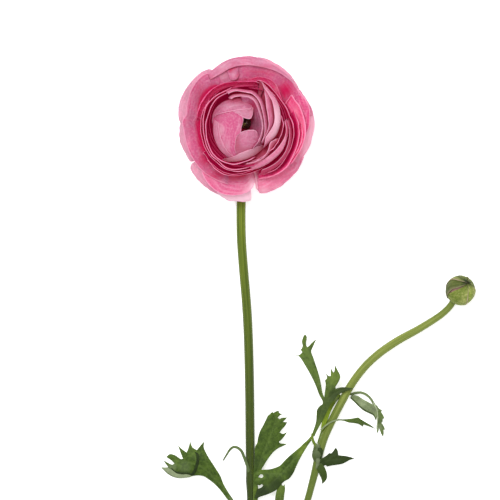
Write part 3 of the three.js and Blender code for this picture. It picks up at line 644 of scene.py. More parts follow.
def grow_petal(growth, form, top, rim, wide=None, **changes):
    """A petal from its form, height and rim line in the picture. wide is its widest line if it bends in."""
    number = next(petal_numbers)
    draw = random.Random(number * 11)
    habit = {**PLAIN_HABIT, **HABITS[form], **changes}
    columns, rows, ends = habit["columns"], habit["rows"], habit["ends"]
    flat_line, place, into, blunt = carried_on(rim, columns, ends)
    heights = top + habit["tilt"] * place - habit["sag"] * np.clip(np.abs(place), 0, 1)**2.2
    heights = heights - habit["fall"] * into**1.3 - habit["blunt"] * blunt
    rims = np.stack(seen(*flat_line.T, heights), axis=1)
    directions = outward(rims)[0]
    wide_line = carried_on(wide, columns, ends)[0] if wide else None
    if form == "ball":
        surface = on_ball(wide_line, flat_line, habit["layer"], rows)
    else:
        curves = petal_curves(form, habit, rims, heights, wide_line)
        surface = rib_surface(*curves, rims, rows, 0.7 if form in ("cup", "heart") else 0.0)
    normal = facing_of(surface)
    half = rows // 2
    if form in ("guard", "spread", "wall"):
        facing = normal[half:, :, 2].mean()
    elif form == "ball":
        facing = -normal[half:, :, 2].mean()
    else:
        inward = AXIS[:2] - surface[half, :, :2]
        facing = (normal[half, :, :2] * inward).sum(axis=1).mean()
    if facing < 0:
        surface, normal, directions = surface[:, ::-1], -normal[:, ::-1], directions[::-1]
    t, u = np.linspace(0, 1, rows)[:, None], np.linspace(-1, 1, columns)
    wave = ripple(draw, u, 3, 2.5, 7)[None, :] * t**3
    wave = wave + ripple(draw, u, 3, 1.5, 4)[None, :] * np.sin(t * math.pi)**0.7 * 0.8
    crimp = ripple(draw, u, 4, 14, 34)[None, :] * t**8 * 0.1
    surface = surface + normal * (wave * habit["ruffle"] + crimp)[..., None]
    steps = np.linalg.norm(np.diff(surface, axis=0), axis=2)
    gap = np.vstack([np.cumsum(steps[::-1], axis=0)[::-1], np.zeros((1, columns))])
    reflex = np.clip(1 - gap / 1.0, 0, 1)**1.3 - 0.5
    surface = surface + directions[None] * (habit["lip"] * reflex)[..., None]
    shades = {trait: np.full(gap.shape, float(habit[trait])) for trait in ("pale", "dusk")}
    shades["blush"] = smoothstep(gap, *habit["blush"])
    x, y = dots_of(surface)
    for at_x, at_y, across, down, trait, amount in habit["stains"]:
        spot = np.exp(-(((x - at_x) / across) ** 2) - ((y - at_y) / down) ** 2) * amount
        shades[trait] = np.clip(shades[trait] + spot, 0, 1)
    vivid = habit["vivid"]
    if vivid is None:
        # The bloom is dusty pink on its left and vivid on its lower right.
        vivid = 0.5 + 0.5 * unit(surface[..., :2] - AXIS[:2]) @ [0.87, -0.5]
    thickness = habit["thick"] * (1 - 0.4 * t**2) * (1 - 0.25 * np.abs(u)[None, :]**6)
    shades.update(number=float(number), gap=gap, vivid=vivid, edge=habit["edge"])
    grow_sheet(growth, surface, thickness, **shades)


GUARDS = [
    # (height, rim line, changes), from the upper left round to the top
    (18, [(213, 72), (209, 69.3), (203, 71), (197, 74.5), (191, 79.5), (186, 86), (182, 94), (179.5, 103),
          (178.3, 112), (179, 120), (182, 126), (186, 130)],
     {"pale": 0.4, "stains": ((188, 96, 6, 12, "dusk", 0.2),)}),
    (17, [(183, 117), (180, 122), (179.2, 129), (179.5, 137), (181, 144), (183.5, 150.5), (186, 156),
          (188, 160), (190.5, 161.3), (194, 161), (198, 160)], {"pale": 0.5, "dusk": 0.14}),
    (16.5, [(196, 162), (192.5, 162.8), (190.5, 165), (190.3, 168.5), (192.5, 173), (196.5, 178.5),
            (202, 184), (208, 188.8), (214, 192.3), (220, 194.5), (226, 196)],
     {"pale": 0.5, "dusk": 0.1, "ends": (0, 4)}),
    (16.5, [(213, 190), (219, 194.5), (223, 197.5), (227, 199.7), (231, 200.2), (234, 200), (239, 201),
            (245, 201.2), (250.3, 200), (250.6, 195), (250.2, 190), (250, 184)],
     {"pale": 1.0, "ends": (4, 0)}),
    (18, [(262, 193), (258.6, 191), (256.5, 189.3), (255, 186.5), (255, 181), (256, 177.5), (258, 174)],
     {"pale": 0.85, "ends": (0, 0), "columns": 30}),
    (20, [(258.5, 178), (259.4, 185), (258.4, 192), (262, 193.2), (268, 192), (275, 189), (281, 185.5),
          (287, 180), (293, 174), (298, 168), (301.5, 161)],
     {"pale": 0.25, "ends": (0, 4), "blush": (12, 22),
      "stains": ((264, 190, 6, 4, "pale", 0.35), (272, 168, 8, 4, "blush", 0.2),
                 (279, 187, 6, 4, "pale", 0.3))}),
    (19, [(292, 172), (298, 167.5), (301.3, 161.5), (303.7, 156), (307, 151), (309.5, 146), (311, 140),
          (312.8, 132.5), (314, 125), (313.7, 118), (312.4, 111.5), (309.8, 105.5), (306, 99.5)],
     {"pale": 0.72, "stains": ((299, 163, 7, 11, "pale", -0.55),)}),
    (20, [(312, 112), (309.3, 104.5), (305.3, 98), (301, 92), (296, 85)], {"pale": 0.3}),
    (19, [(304.5, 97), (300.5, 90.5), (295.5, 82), (289, 74.3), (281.5, 67.7), (273.5, 61.8), (266, 57.6),
          (258, 56.2), (254, 57.5)], {"pale": 0.45}),
    (17, [(266, 62), (257, 58.5), (249, 56.8), (240, 57.4), (231, 59.2), (224, 62), (218, 65.6),
          (213, 69.6), (210, 76)], {"pale": 0.3}),
]
SPREADS = [
    # the left, the bottom, the top, the upper right and the right
    (26.6, [(216, 72), (209.5, 72), (203.5, 74), (198, 78.5), (193, 85.3), (189.7, 92), (187.8, 98.5),
            (186.5, 106), (186, 114), (182, 120.3), (183, 128), (184.2, 136), (186, 144), (188.5, 151.5),
            (192.5, 159), (197, 165.4), (201.5, 170.4), (207, 174.8), (213, 178.3), (219.5, 181.3),
            (226, 183.6)],
     {"blush": (5.5, 9.5), "vivid": 0.05, "sag": 0.7, "ends": (6, 3), "columns": 64,
      "stains": ((206, 160, 9, 8, "blush", 0.6), (218, 174, 12, 6, "blush", 0.6),
                 (194, 95, 8, 14, "dusk", 0.3), (200, 97, 6, 18, "blush", 0.42),
                 (190, 120, 4, 12, "dusk", 0.2), (186, 118, 3, 12, "pale", 0.15),
                 (201, 138, 5, 18, "blush", 0.5), (187, 142, 4, 12, "pale", 0.15))}),
    (25, [(199, 164), (201, 171), (204, 178), (208, 184), (213, 188.7), (219, 192.3), (227, 194.4),
          (236, 194.6), (243, 193.2), (248.5, 190.7), (252, 187.2), (254, 182.5), (254.5, 176.5)],
     {"blush": (6, 12), "ends": (6, 0), "vivid": 0.6, "pale": 0.1,
      "stains": ((252, 185, 4, 8, "pale", 0.8), (246, 190, 5, 5, "pale", 0.35),
                 (212, 169, 9, 8, "blush", 0.7))}),
    (27, [(214, 74), (220, 69), (226, 66), (233, 63.8), (241, 62.3), (250, 62), (258, 62.6), (267, 64.8),
          (276, 68.5), (284, 73.5), (291, 80), (295, 87)],
     {"blush": (7, 14), "vivid": 0.2,
      "stains": ((252, 84, 12, 4, "blush", 0.3), (259, 73, 20, 6.5, "blush", 0.42),
                 (284.5, 90, 8.5, 9.5, "blush", 0.85), (222, 75, 8, 5, "pale", 0.35))}),
    (26.5, [(262, 60.5), (270, 65), (279, 70), (287, 76), (293, 82), (297, 87.5), (299, 93)],
     {"blush": (9, 15), "vivid": 0.6, "ends": (10, 6), "stains": ((284.5, 90, 8.5, 9.5, "blush", 0.85),)}),
    (27, [(298, 89.5), (303, 96.5), (307, 103), (309.6, 110), (309.8, 118), (309, 125), (306.5, 131),
          (304, 134)],
     {"blush": (5, 10), "vivid": 0.6}),
]
BANDS = [
    # (height, rim line, widest line, changes): the petal bent in across the top and the lobe rolled out of it
    (28.6, [(209.6, 79.6), (212.5, 77.6), (217, 75), (221.5, 72.6), (225.5, 70), (229.5, 68), (235, 66),
            (242, 64.9), (250, 64.9), (258, 66), (266, 67.6), (274, 70.2), (281, 73.7), (287, 78)],
     [(207.5, 71), (210.5, 69.5), (213.5, 67.3), (218, 63.4), (224, 59.6), (231, 56.8), (240, 55.2),
      (249, 54.4), (257, 56.1), (263, 58.8), (271, 63.6), (281, 70.5)],
     {"vivid": 0.3, "swell": 0.5, "dome": 0.4, "blunt": 0.7, "ends": (0, 10), "fall": 5.5, "edge": 0.1,
      "pale": 0.12, "tilt": 0.8,
      "stains": ((222, 66, 7, 4, "pale", 0.25), (212, 78, 5, 1.5, "blush", 0.5),
                 (255, 66.3, 22, 1.5, "blush", 0.6))}),
    (26.8, [(230, 69.3), (228, 72.3), (228, 76), (230.3, 79), (233.6, 79.8), (236.6, 78.2), (238, 75),
            (237.8, 71.5), (236, 68)],
     [(224.5, 70), (224.3, 67.6), (226.5, 65.5), (230, 64.3), (234, 64), (237.5, 64.8), (240, 67)],
     {"columns": 36, "rows": 24, "ends": (0, 0), "vivid": 0.1, "swell": 0.3, "dome": 0.4, "blunt": 0.3,
      "edge": 0.1, "blush": (3, 9),
      "stains": ((233, 74, 2.2, 3.5, "pale", 0.15), (237, 74, 2.2, 5, "blush", 0.5),
                 (229.5, 70.5, 1.8, 2, "blush", 0.6))}),
]
CUPS = [
    # the pointed petal on the right and the ones inside it
    (31, [(284.3, 104), (285.7, 100), (288, 97), (290.5, 93.8), (294, 98.7), (297.4, 103.4), (300, 109),
          (302, 115), (303.5, 121.5), (304.2, 128), (303.9, 135), (302, 142.5), (299, 149.5), (295, 156.5),
          (290, 163), (284, 168.5), (277, 173), (269, 175.5)],
     {"form": "spread", "ends": (0, 8), "blush": (14, 22), "lip": 0.6, "fall": 6, "vivid": 0.9, "pale": 0.08,
      "stains": ((296, 112, 2.5, 8, "pale", 0.3), (302, 124, 3, 9, "pale", 0.2))}),
    (33, [(301.6, 128), (301.4, 134), (300, 141), (297.6, 148), (293.8, 155.5), (289.3, 162), (283, 168.3),
          (275, 173.5), (268, 176)],
     {"form": "spread", "blush": (5, 11), "vivid": 0.9, "lip": 0.5, "ends": (10, 10), "fall": 6,
      "stains": ((276, 171, 9, 5, "blush", -0.7),)}),
    (34.5, [(295.6, 117.5), (297.5, 124), (298.6, 131), (298.4, 139), (297, 146), (294.5, 152),
            (291, 158.5), (286.5, 165), (280, 170.5), (274, 174)],
     {"form": "spread", "blush": (0.6, 3.5), "vivid": 0.9, "lip": 0.5, "ends": (10, 10), "fall": 6,
      "stains": ((276, 171, 9, 5, "blush", -0.7),)}),
    (38, [(257, 80.4), (262, 81), (267, 84), (272, 88.5), (276, 93), (280, 98.6), (284, 105), (287, 111),
          (289, 117), (291, 122), (292.5, 128), (293, 134), (292.2, 140.5), (290.5, 147), (287.5, 153.5),
          (284, 159), (280, 164), (275, 168), (269, 170.5)],
     {"ends": (3, 12), "blush": (0.1, 1.6)}),
    (44.5, [(280.6, 116), (282.4, 122), (282.8, 127), (281.7, 132), (279.5, 137), (276.5, 142),
            (273, 146.5), (268, 150.5), (264, 154.5), (258, 158.5), (252, 160.5)], {"ends": (3, 8)}),
    # the left and the bottom, from the outside in
    (37, [(207, 158), (212, 164.7), (217, 169.4), (224, 173.5), (232, 175.2), (240, 174.6), (248, 172.8),
          (255, 170.3), (262, 167)], {}),
    (39.5, [(213, 165), (218, 168.7), (223, 171), (230, 172.8), (238, 172.9), (246, 171.4), (254, 168.8),
            (260, 166)], {"edge": 0.4}),
    (42, [(208.5, 101), (205, 107), (202.5, 113), (201, 119), (200.5, 126), (200.9, 133), (202.3, 140),
          (204.7, 147), (208, 153), (212, 157.8), (217, 162.3), (222, 166.3), (227, 169), (234, 170.5),
          (241, 170.3), (248, 169), (255, 166.5)], {"ends": (5, 12)}),
    (43.5, [(231.3, 87.3), (228, 89.3), (223, 91.5), (218, 94), (213, 97.7), (209, 101.8), (206.2, 106.3),
            (204.4, 111), (203.5, 116), (203.2, 122), (203.4, 129), (204.3, 136), (205.8, 142.5),
            (208.2, 149), (212, 154.7), (217, 159.3), (221.5, 163.3), (226, 166.7), (231, 168.5),
            (237, 168.6), (244, 167.6), (250, 165.7)], {"lip": 0.7, "ends": (3, 12)}),
    (44.2, [(231, 164.3), (237, 165.2), (243, 165.6), (250, 164.8), (256, 162.3), (261, 159)],
     {"ends": (3, 6), "edge": 0.0, "blush": (-0.6, 0.6)}),
    (45.5, [(228, 91.8), (223, 93.9), (218, 97), (214, 101), (211.2, 105.5), (209.2, 110.3), (207.5, 115.3),
            (206.2, 121), (205.6, 127), (206.1, 134), (207.5, 141), (209.6, 147), (212.5, 152.3),
            (216.3, 156.7), (221, 159.8), (226.5, 162.2), (232, 163.4), (239, 162.6), (246, 160.6),
            (252, 157.6)],
     {"lip": 0.7, "ends": (4, 10)}),
    # the top
    (34, [(198, 112), (200.5, 104), (204.5, 97), (210, 90.5), (217, 86), (225, 83), (233, 81.5),
          (241, 80.8), (250, 80.4), (257, 81)],
     {"blush": (7, 24), "lip": 0.0, "edge": 0.0, "vivid": 0.2, "ends": (12, 6),
      "stains": ((250, 87, 15, 4.5, "blush", 0.75), (205, 100, 9, 12, "blush", 0.1))}),
    (36.5, [(256, 82), (260, 83.4), (264, 86.5), (269, 91), (274, 96.5), (278, 103)], {"ends": (4, 6)}),
    (31.5, [(254, 77.6), (258, 77), (262, 77.2), (269, 79), (274, 82.3), (277, 87), (278.8, 92.5),
            (281, 98.5), (284, 105)],
     {"form": "spread", "blush": (3.5, 7), "vivid": 0.3, "ends": (10, 10), "fall": 5, "lip": 0.3, "edge": 0.2,
      "stains": ((276.3, 87.5, 2, 5, "pale", 0.4), (272, 82, 5, 4, "pale", 0.12))}),
]
LEANING = [
    # petals that lean in: (height, rim line, widest line, changes), from the outside in
    (40, [(286.5, 119.5), (288, 126), (288.6, 132), (288.2, 138.5), (286.8, 145), (284.6, 151),
          (280.6, 156.8), (275.4, 161.6), (268.8, 165.6), (262.4, 168.4)],
     [(286.9, 119), (288.5, 125.5), (289.2, 132), (288.8, 139), (287.3, 146), (284.9, 152.3),
      (280.9, 158.2), (275.5, 163.2), (269, 167.4), (262.4, 170.4)],
     {"vivid": 0.9, "ends": (3, 6), "fall": 6, "edge": 0.6, "blush": (-0.6, 1.2), "dome": -2.5}),
    (42.5, [(284.3, 122), (285.2, 127), (285, 132), (283.3, 137.5), (279.8, 143.3), (275.3, 149),
            (269.7, 154), (263.5, 158.5), (257, 161.7), (250, 163.7)],
     [(284.8, 121), (286, 127), (285.9, 132.5), (284.6, 138.5), (282.9, 144.5), (279.8, 150.3),
      (274.8, 155.7), (268.3, 160.7), (261.2, 164.5), (253.5, 167.3)],
     {"pale": 0.2, "vivid": 0.9, "dome": 1.0, "ends": (4, 4), "blush": (2.4, 5),
      "stains": ((286, 128, 3, 9, "blush", 1.0), (286, 128, 3, 9, "pale", -0.4))}),
    (45.5, [(274.5, 138.8), (272.5, 139.8), (270.3, 141), (268.8, 143.7), (268.1, 147.3), (266.2, 151.7),
            (263, 155.5), (258.5, 158.8), (253, 161), (247, 162.3)],
     [(277.5, 139.5), (275.8, 142), (274, 144.5), (272, 147.3), (269.3, 150.5), (265.5, 154), (261, 157.5),
      (256, 160.3), (251, 162), (245, 163)], {"ends": (5, 3), "pale": 0.15, "blush": (0.4, 1.8)}),
    (47, [(257.5, 82.5), (260.8, 85), (264, 88.5), (267, 93), (269.8, 97.8), (271.8, 102), (272.9, 107.5),
          (273.6, 113), (273.9, 118), (273, 123.3), (270.5, 128.5), (267, 133.5), (263.3, 139),
          (260.8, 144)],
     [(258.3, 82.6), (262.2, 84.7), (266.2, 88.6), (270.8, 93.8), (275.1, 99.8), (278.2, 106), (279.5, 112),
      (280, 118), (279.4, 124), (277.6, 130), (274.8, 135.3), (270.7, 139.8), (266.3, 143.5), (262, 147.5)],
     {"dome": 1.2, "blush": (5, 9), "pale": 0.2, "vivid": 0.7, "ends": (1, 1), "fall": 2,
      "stains": ((276, 118, 4.5, 16, "pale", 0.6), (270, 134, 8, 5, "pale", 0.3),
                 (262, 84, 6, 5, "blush", 0.8))}),
    (47.4, [(262, 87.8), (263.6, 92), (264.6, 97), (265.1, 102), (265.5, 107), (266.6, 113), (267.4, 119),
            (267.9, 124), (266.7, 130), (264, 136), (261, 141)],
     [(263.3, 87.5), (266.5, 91.5), (269.5, 96), (271.6, 101), (272.7, 106.5), (273.3, 112), (273.6, 118),
      (272.8, 123.5), (270.3, 128.5), (266.7, 133.7), (262.8, 139.3)],
     {"pale": 0.12, "vivid": 0.7, "ends": (1, 3), "fall": 3, "blush": (1.6, 4.2),
      "stains": ((270, 123, 9, 9, "blush", -0.9),)}),
    (47.2, [(228.5, 93.2), (232.5, 91.4), (236.5, 90.8), (241, 91.5), (246, 92.3), (251, 93.5),
            (255.3, 96.8), (258.3, 101), (260.3, 106), (261.8, 112), (262.9, 118), (263.6, 124),
            (263.8, 130), (262.9, 136), (261, 141)],
     [(227.3, 91.6), (232, 90.1), (236.5, 89.4), (241.5, 90), (247, 90.8), (252.7, 91.7), (257.8, 94.8),
      (261.8, 99), (264, 104.5), (265.6, 110), (267, 116), (268, 122), (268, 128), (266.6, 134),
      (264, 140)],
     {"vivid": 0.6, "pale": 0.05, "blush": (1.2, 4), "ends": (3, 8),
      "stains": ((264, 112, 4, 14, "blush", -0.6),)}),
    (47.5, [(231.3, 98.8), (233.7, 97), (238, 96.2), (243, 96), (248, 96.8), (251.7, 98.6), (254.5, 101.6),
            (256.8, 106), (258.6, 111), (260.2, 116), (261.4, 121), (261.8, 127), (260.5, 133), (258, 139)],
     [(229.8, 97.2), (232.8, 95.2), (237.5, 94.3), (243, 94.2), (249.3, 95), (254, 96.8), (257.6, 100),
      (260, 105), (261.7, 110.5), (263, 116), (263.9, 121.5), (264.2, 128), (262.6, 135), (259.5, 142)],
     {"blush": (1.5, 5), "vivid": 0.6, "pale": 0.2, "ends": (5, 8)}),
]
BALL = [
    # petals laid on the ball round the hole: (layer, rim line, widest line, changes)
    (0, [(235, 134.5), (239.5, 132), (245, 130), (251, 129.2), (255.2, 130), (257.2, 133.5), (257.3, 140),
         (257.5, 146)],
     [(226, 156), (234, 158.5), (242, 158), (249, 156), (255, 152.5), (260, 148), (262, 143), (262, 138)],
     {"vivid": 0.15, "ends": (0, 4), "pale": 0.1,
      "stains": ((236.5, 142, 4, 10, "blush", 0.8), (246, 149, 12, 3.5, "blush", 0.45))}),
    (0.8, [(222, 109), (230, 108.5), (238, 110.5), (241.8, 115), (243, 119), (242.3, 123), (240.8, 128),
           (240.3, 131.5), (236.5, 135.5), (235.2, 141), (234.6, 148), (236, 156)],
     [(215, 109), (213, 116), (212.4, 123.5), (212.9, 131), (214.6, 138.5), (218, 146), (222.8, 152),
      (228.5, 156), (234.5, 158.2), (240, 158.8)],
     {"vivid": 0.75,
      "stains": ((220, 130, 3, 6, "pale", 0.5), (226, 146, 3, 7, "pale", 0.3),
                 (216, 120, 3, 8, "blush", 0.3), (215, 141, 3, 9, "blush", 0.4),
                 (226, 116, 12, 2, "blush", 0.25))}),
    (1.6, [(218.5, 124), (218.7, 128), (219.6, 133), (221, 139), (223.5, 145), (227, 150.5), (232, 155),
           (237, 157)],
     [(213.5, 120.5), (212.7, 128), (213.5, 135), (215.8, 142), (219.3, 148.7), (224.5, 154),
      (230.5, 157.3), (238, 158.9)],
     {"pale": 0.2, "vivid": 0.6}),
    (1.6, [(226, 107), (232, 110.4), (237, 113.3), (242, 116.4), (246, 118.2), (250.3, 118), (252.5, 112),
           (252, 106)],
     [(215.5, 112), (221, 105), (228.5, 100.5), (236, 98.8), (243, 98.3), (249, 99.7), (254, 102),
      (257, 107)],
     {"pale": 0.2, "vivid": 0.1, "ends": (2, 0), "stains": ((254, 106, 4, 7, "blush", 0.8),)}),
    (2.4, [(212.6, 117), (218, 114), (225, 112), (232, 110.5), (240, 109.3), (246, 108.8), (250.3, 108.4),
           (251, 104), (250, 100)],
     [(211.8, 121), (212.8, 113), (216.7, 106.5), (222.8, 101.5), (230, 98.8), (238, 97.5), (246, 97.8),
      (252, 99.3), (254, 101)],
     {"pale": 0.06, "vivid": 0.15,
      "stains": ((242, 99, 22, 4, "blush", 0.95), (254, 105, 4.5, 7, "blush", 0.8),
                 (230, 106, 10, 2.5, "pale", 0.2))}),
    (3, [(222, 159.2), (228, 157.4), (234, 155.6), (240, 152.6), (246, 150.2), (252, 148.2), (257, 145.8),
         (260.3, 145)],
     [(219.5, 158.8), (225, 160.7), (231, 161.2), (239, 160.4), (247, 158), (254, 154.5), (259, 151),
      (263, 147.5)],
     {"pale": 0.6, "vivid": 0.7, "ends": (8, 4)}),
]
# The shaded side of the hole, its shade painted mauve and crimson: its height, its rim, the line where it
# meets the hole and its changes.
HOLE_WALL = (
    47.2, [(240, 95.6), (247, 96.2), (252.7, 99.2), (256.3, 104.8), (258.8, 111), (260.8, 118),
           (261.8, 126), (260.5, 134), (257.5, 142), (252, 149)],
     [(245, 116), (248, 117), (250, 119), (250.6, 121.5), (250.6, 124.5), (250, 127.5), (250.3, 130.5),
      (252, 133), (252, 136), (250, 138)],
     {"vivid": 0.0, "dusk": 0.25, "blush": (3, 12),
      "stains": ((256, 123, 5, 6, "dusk", 0.5), (254, 124, 6, 7, "blush", -0.6),
                 (253, 105, 7, 8, "blush", 0.7))},
)
# How far from the hub, in dots, the innermost and outermost standing petals are, every 45 degrees from the
# right round by the bottom.
STANDING_IN, STANDING_OUT = (36, 38, 40, 37, 36, 36, 35, 37, 36), (46, 50, 49, 49, 45, 44, 39, 42, 46)
FILLER_TURN = 137.5  # degrees from each short petal to the next


def fillers(growth, count):
    """Short crimson petals low between the standing ones, which close their gaps."""
    draw = random.Random(77)
    angles = np.arange(len(STANDING_IN)) * 45.0
    for k in range(count):
        share = (k + 0.5) / count
        turn = k * FILLER_TURN + np.linspace(0, draw.uniform(70, 120), 12)
        drift = share + np.linspace(-0.06, 0.06, 12)
        a, b = np.interp(turn % 360, angles, STANDING_IN), np.interp(turn % 360, angles, STANDING_OUT)
        reach = a + (b - a) * np.clip(drift, 0, 1)
        line = HUB + np.stack([reach * np.cos(np.radians(turn)), reach * np.sin(np.radians(turn))], axis=1)
        grow_petal(growth, "cup", 41 - 13 * share, [tuple(p) for p in line],
                   columns=36, rows=18, blush=(-2, 1), lip=0.0, ends=(8, 8), fall=5, edge=0.0)


def receptacle(growth):
    """The cushion that carries the petals, hidden between them."""
    shape = [(0.05, 0.0), (4.6, 0.0), (11, 0.8), (12.6, 2.6), (12.6, 9), (9, 11.5), (5, 12.2), (0.05, 12.2)]
    profile = evenly(np.array(shape, float), 26)
    turn = np.linspace(0, 2 * math.pi, 40, endpoint=False)
    points = np.stack([
        AXIS[0] + profile[:, :1] * np.cos(turn), AXIS[1] + profile[:, :1] * np.sin(turn),
        np.broadcast_to(BLOOM_FOOT + profile[:, 1:], (len(profile), len(turn))),
    ], axis=-1)
    faces = grid_quads(len(profile), len(turn), wrap=True)
    growth.add(points.reshape(-1, 3), [faces], along=0.3, inner=1.0, gap=20.0, blush=1.0)


def bloom():
    guards, spreads, cups, hearts = Growth(), Growth(), Growth(), Growth()
    for top, rim, changes in GUARDS:
        grow_petal(guards, "guard", top, rim, tilt=0.5, **changes)
    for top, rim, changes in SPREADS:
        grow_petal(spreads, "spread", top, rim, tilt=0.5, **changes)
    for top, rim, wide, changes in BANDS:
        grow_petal(spreads, "curl", top, rim, wide, **changes)
    for top, rim, changes in CUPS:
        grow_petal(cups, changes.pop("form", "cup"), top, rim, **changes)
    fillers(cups, 24)
    for top, rim, wide, changes in LEANING:
        grow_petal(hearts, "heart", top, rim, wide, **changes)
    for layer, rim, wide, changes in BALL:
        grow_petal(hearts, "ball", 0, rim, wide, layer=layer, **changes)
    grow_petal(hearts, "wall", *HOLE_WALL[:3], **HOLE_WALL[3])
    receptacle(cups)
    guards.piece("guard_petals", OUTER_PINK, "petal", "petals")
    spreads.piece("spread_petals", OUTER_PINK, "petal", "petals")
    cups.piece("cup_petals", DEEP_PINK, "petal", "petals")
    hearts.piece("heart_petals", HEART_PINK, "petal", "petals")


bloom()


# ---- Stems ----

def from_axis(points):
    """Points given from the bloom's axis, in their own place."""
    return np.array(points, float) + AXIS


FLOWER_ROUTE = [
    (0, 0, 14), (0, 0, 12.6), (-0.1, -1.4, 9.4), (-0.5, -5.6, 5.8), (-1.2, -13, 3.5), (-2.3, -26, 2.7),
    (-3.1, -47, 2.55), (-2.9, -64, 2.5), (-1.7, -81, 2.5), (0, -101, 2.5), (1, -120, 2.5), (1.7, -150, 2.5),
    (2, -181, 2.55), (2.5, -198, 2.85), (2.8, -211, 2.55), (3.4, -245, 2.95), (3.6, -275, 2.6),
    (3.6, -297, 2.9), (3.4, -325, 2.5), (3, -350, 2.5),
]
BUD_ROUTE = [
    (115.9, -98.9, 3.4), (112.6, -103.2, 2.7), (107.4, -107.6, 2.9), (96.7, -114.3, 3.8), (84.6, -121, 4.8),
    (74.7, -127.7, 5.4), (67.2, -134.4, 5.7), (61.7, -141, 5.8), (57.2, -147.8, 5.7), (53.5, -154.6, 5.4),
    (50, -161.3, 4.8), (46.7, -168, 4.2), (43.7, -174.7, 3.6), (41.5, -181.4, 3), (39.8, -188, 2.5),
    (38.2, -195, 2.1), (36.5, -201.6, 2), (34.7, -208.3, 2), (28.4, -229, 2), (21, -252, 2.1),
    (14, -273, 2.3), (9.8, -287, 2.6), (8.65, -293.5, 2.7),
]


# The knots of the flower stem: how far down it each one is, as a share, and how much it stands out.
STEM_KNOTS = ((0.577, 0.35), (0.705, 0.45), (0.85, 0.4))
HAIR_WIDTH = 0.035


def swelling(share, place, width, height):
    return height * np.exp(-(((share - place) / width) ** 2))


def grow_hairs(growth, path, sides, tops, radius, count, longest, draw, **traits):
    """Fine hairs that stand out from a stem, each a thin three-sided spike."""
    for _ in range(count):
        k = draw.randrange(2, len(path) - 2)
        turn = draw.uniform(0, 2 * math.pi)
        out = sides[k] * math.cos(turn) + tops[k] * math.sin(turn)
        down = path[k + 1] - path[k - 1]
        lean = unit(out + down * draw.uniform(-0.2, 0.5) + sides[k] * draw.uniform(-0.3, 0.3))
        foot = path[k] + out * radius[k] * 0.97
        tip = foot + lean * longest * draw.uniform(0.4, 1)
        if foot[2] < 0.1:
            continue
        tip[2] = max(tip[2], 0.05)
        a = unit(np.cross(lean, out + [0.01, 0.02, 0.03])) * HAIR_WIDTH
        b = unit(path[k + 1] - path[k]) * HAIR_WIDTH
        corners = [foot + a, foot - a * 0.5 + b * 0.8, foot - a * 0.5 - b * 0.8]
        growth.add(
            np.array([*corners, tip]), [np.array([(0, 1, 3), (1, 2, 3), (2, 0, 3)])],
            along=k / len(path), across=turn, **traits,
        )


def long_stem():
    growth = Growth()
    path = smooth_path(from_axis(FLOWER_ROUTE), 420)
    share = np.linspace(0, 1, len(path))
    radius = 2.6 - 0.1 * np.minimum(1, share * 8)
    for place, height in STEM_KNOTS:
        radius = radius + swelling(share, place, 0.013, height)
    made = grow_tube(growth, path, radius, sides=36, ribs=0.028, upright=(1, 0, 0),
                     low=smoothstep(share, 0.05, 0.62), cut=(share == 1) * 1.0)
    grow_hairs(growth, *made, 2600, 0.55, random.Random(3), low=0.4)
    growth.piece("long_stem", LONG_STEM, "stem", "flower_stem")


def side_stem():
    growth = Growth()
    path = smooth_path(from_axis(BUD_ROUTE), 320)
    share = np.linspace(0, 1, len(path))
    radius = 1.8 + 0.4 * smoothstep(share, 0, 0.2) - 0.35 * smoothstep(share, 0.5, 0.62)
    radius = radius + swelling(share, 1, 0.02, 0.4)
    made = grow_tube(growth, path, radius, sides=32, ribs=0.03,
                     low=smoothstep(share, 0.25, 0.6) + 0.5 * smoothstep(share, 0.1, 0))
    grow_hairs(growth, *made, 2200, 0.55, random.Random(4), low=0.3)
    growth.piece("side_stem", SIDE_STEM, "pale_stem", "bud_stem")


long_stem()
side_stem()


# ---- Leaves ----

def spread_ground(heights):
    """A smooth ground through the given heights [x, y, z]: a thin plate bent over them."""
    known = np.array(heights, float)

    def plate(a, b):
        gap = np.maximum(((a[:, None, :2] - b[None, :, :2]) ** 2).sum(axis=2), 1e-9)
        return gap * np.log(gap)

    count = len(known)
    plane = np.hstack([np.ones((count, 1)), known[:, :2]])
    system = np.block([[plate(known, known) + np.eye(count) * 6, plane], [plane.T, np.zeros((3, 3))]])
    weights = np.linalg.solve(system, np.concatenate([known[:, 2], np.zeros(3)]))

    def height(points):
        bent = plate(points, known) @ weights[:count]
        return bent + weights[count] + points @ weights[count + 1:]

    return height


TOOTH = 0.55  # a turn of the outline with a smaller cosine is a tooth or a notch
RIM_STEP = 0.55  # mm between two points of a leaf's rim
BLADE_STEP = 0.62  # mm between two points inside it
BLADE_WAVE = 0.125  # how much it waves, in mm
UNDERSIDE_PALE = 0.7


def outline_line(outline):
    """A leaf's outline, rounded but for its teeth and notches, and the points of those."""
    points = np.array(outline, float)
    before, after = points - np.roll(points, 1, axis=0), np.roll(points, -1, axis=0) - points
    cosine = (unit(before) * unit(after)).sum(axis=1)
    corners = np.flatnonzero(cosine < TOOTH)
    if len(corners) == 0:
        corners = np.array([0])
    pieces = []
    for k, first in enumerate(corners):
        last = corners[(k + 1) % len(corners)]
        count = (last - first) % len(points) or len(points)
        run = points[[(first + j) % len(points) for j in range(count + 1)]]
        length = np.linalg.norm(np.diff(run, axis=0), axis=1).sum()
        steps = int(length / RIM_STEP) + 2
        flat = smooth_path(run, max(3, steps)) if len(run) > 2 else evenly(run, steps)
        pieces.append(flat[:-1])
    return np.vstack(pieces), points[corners]


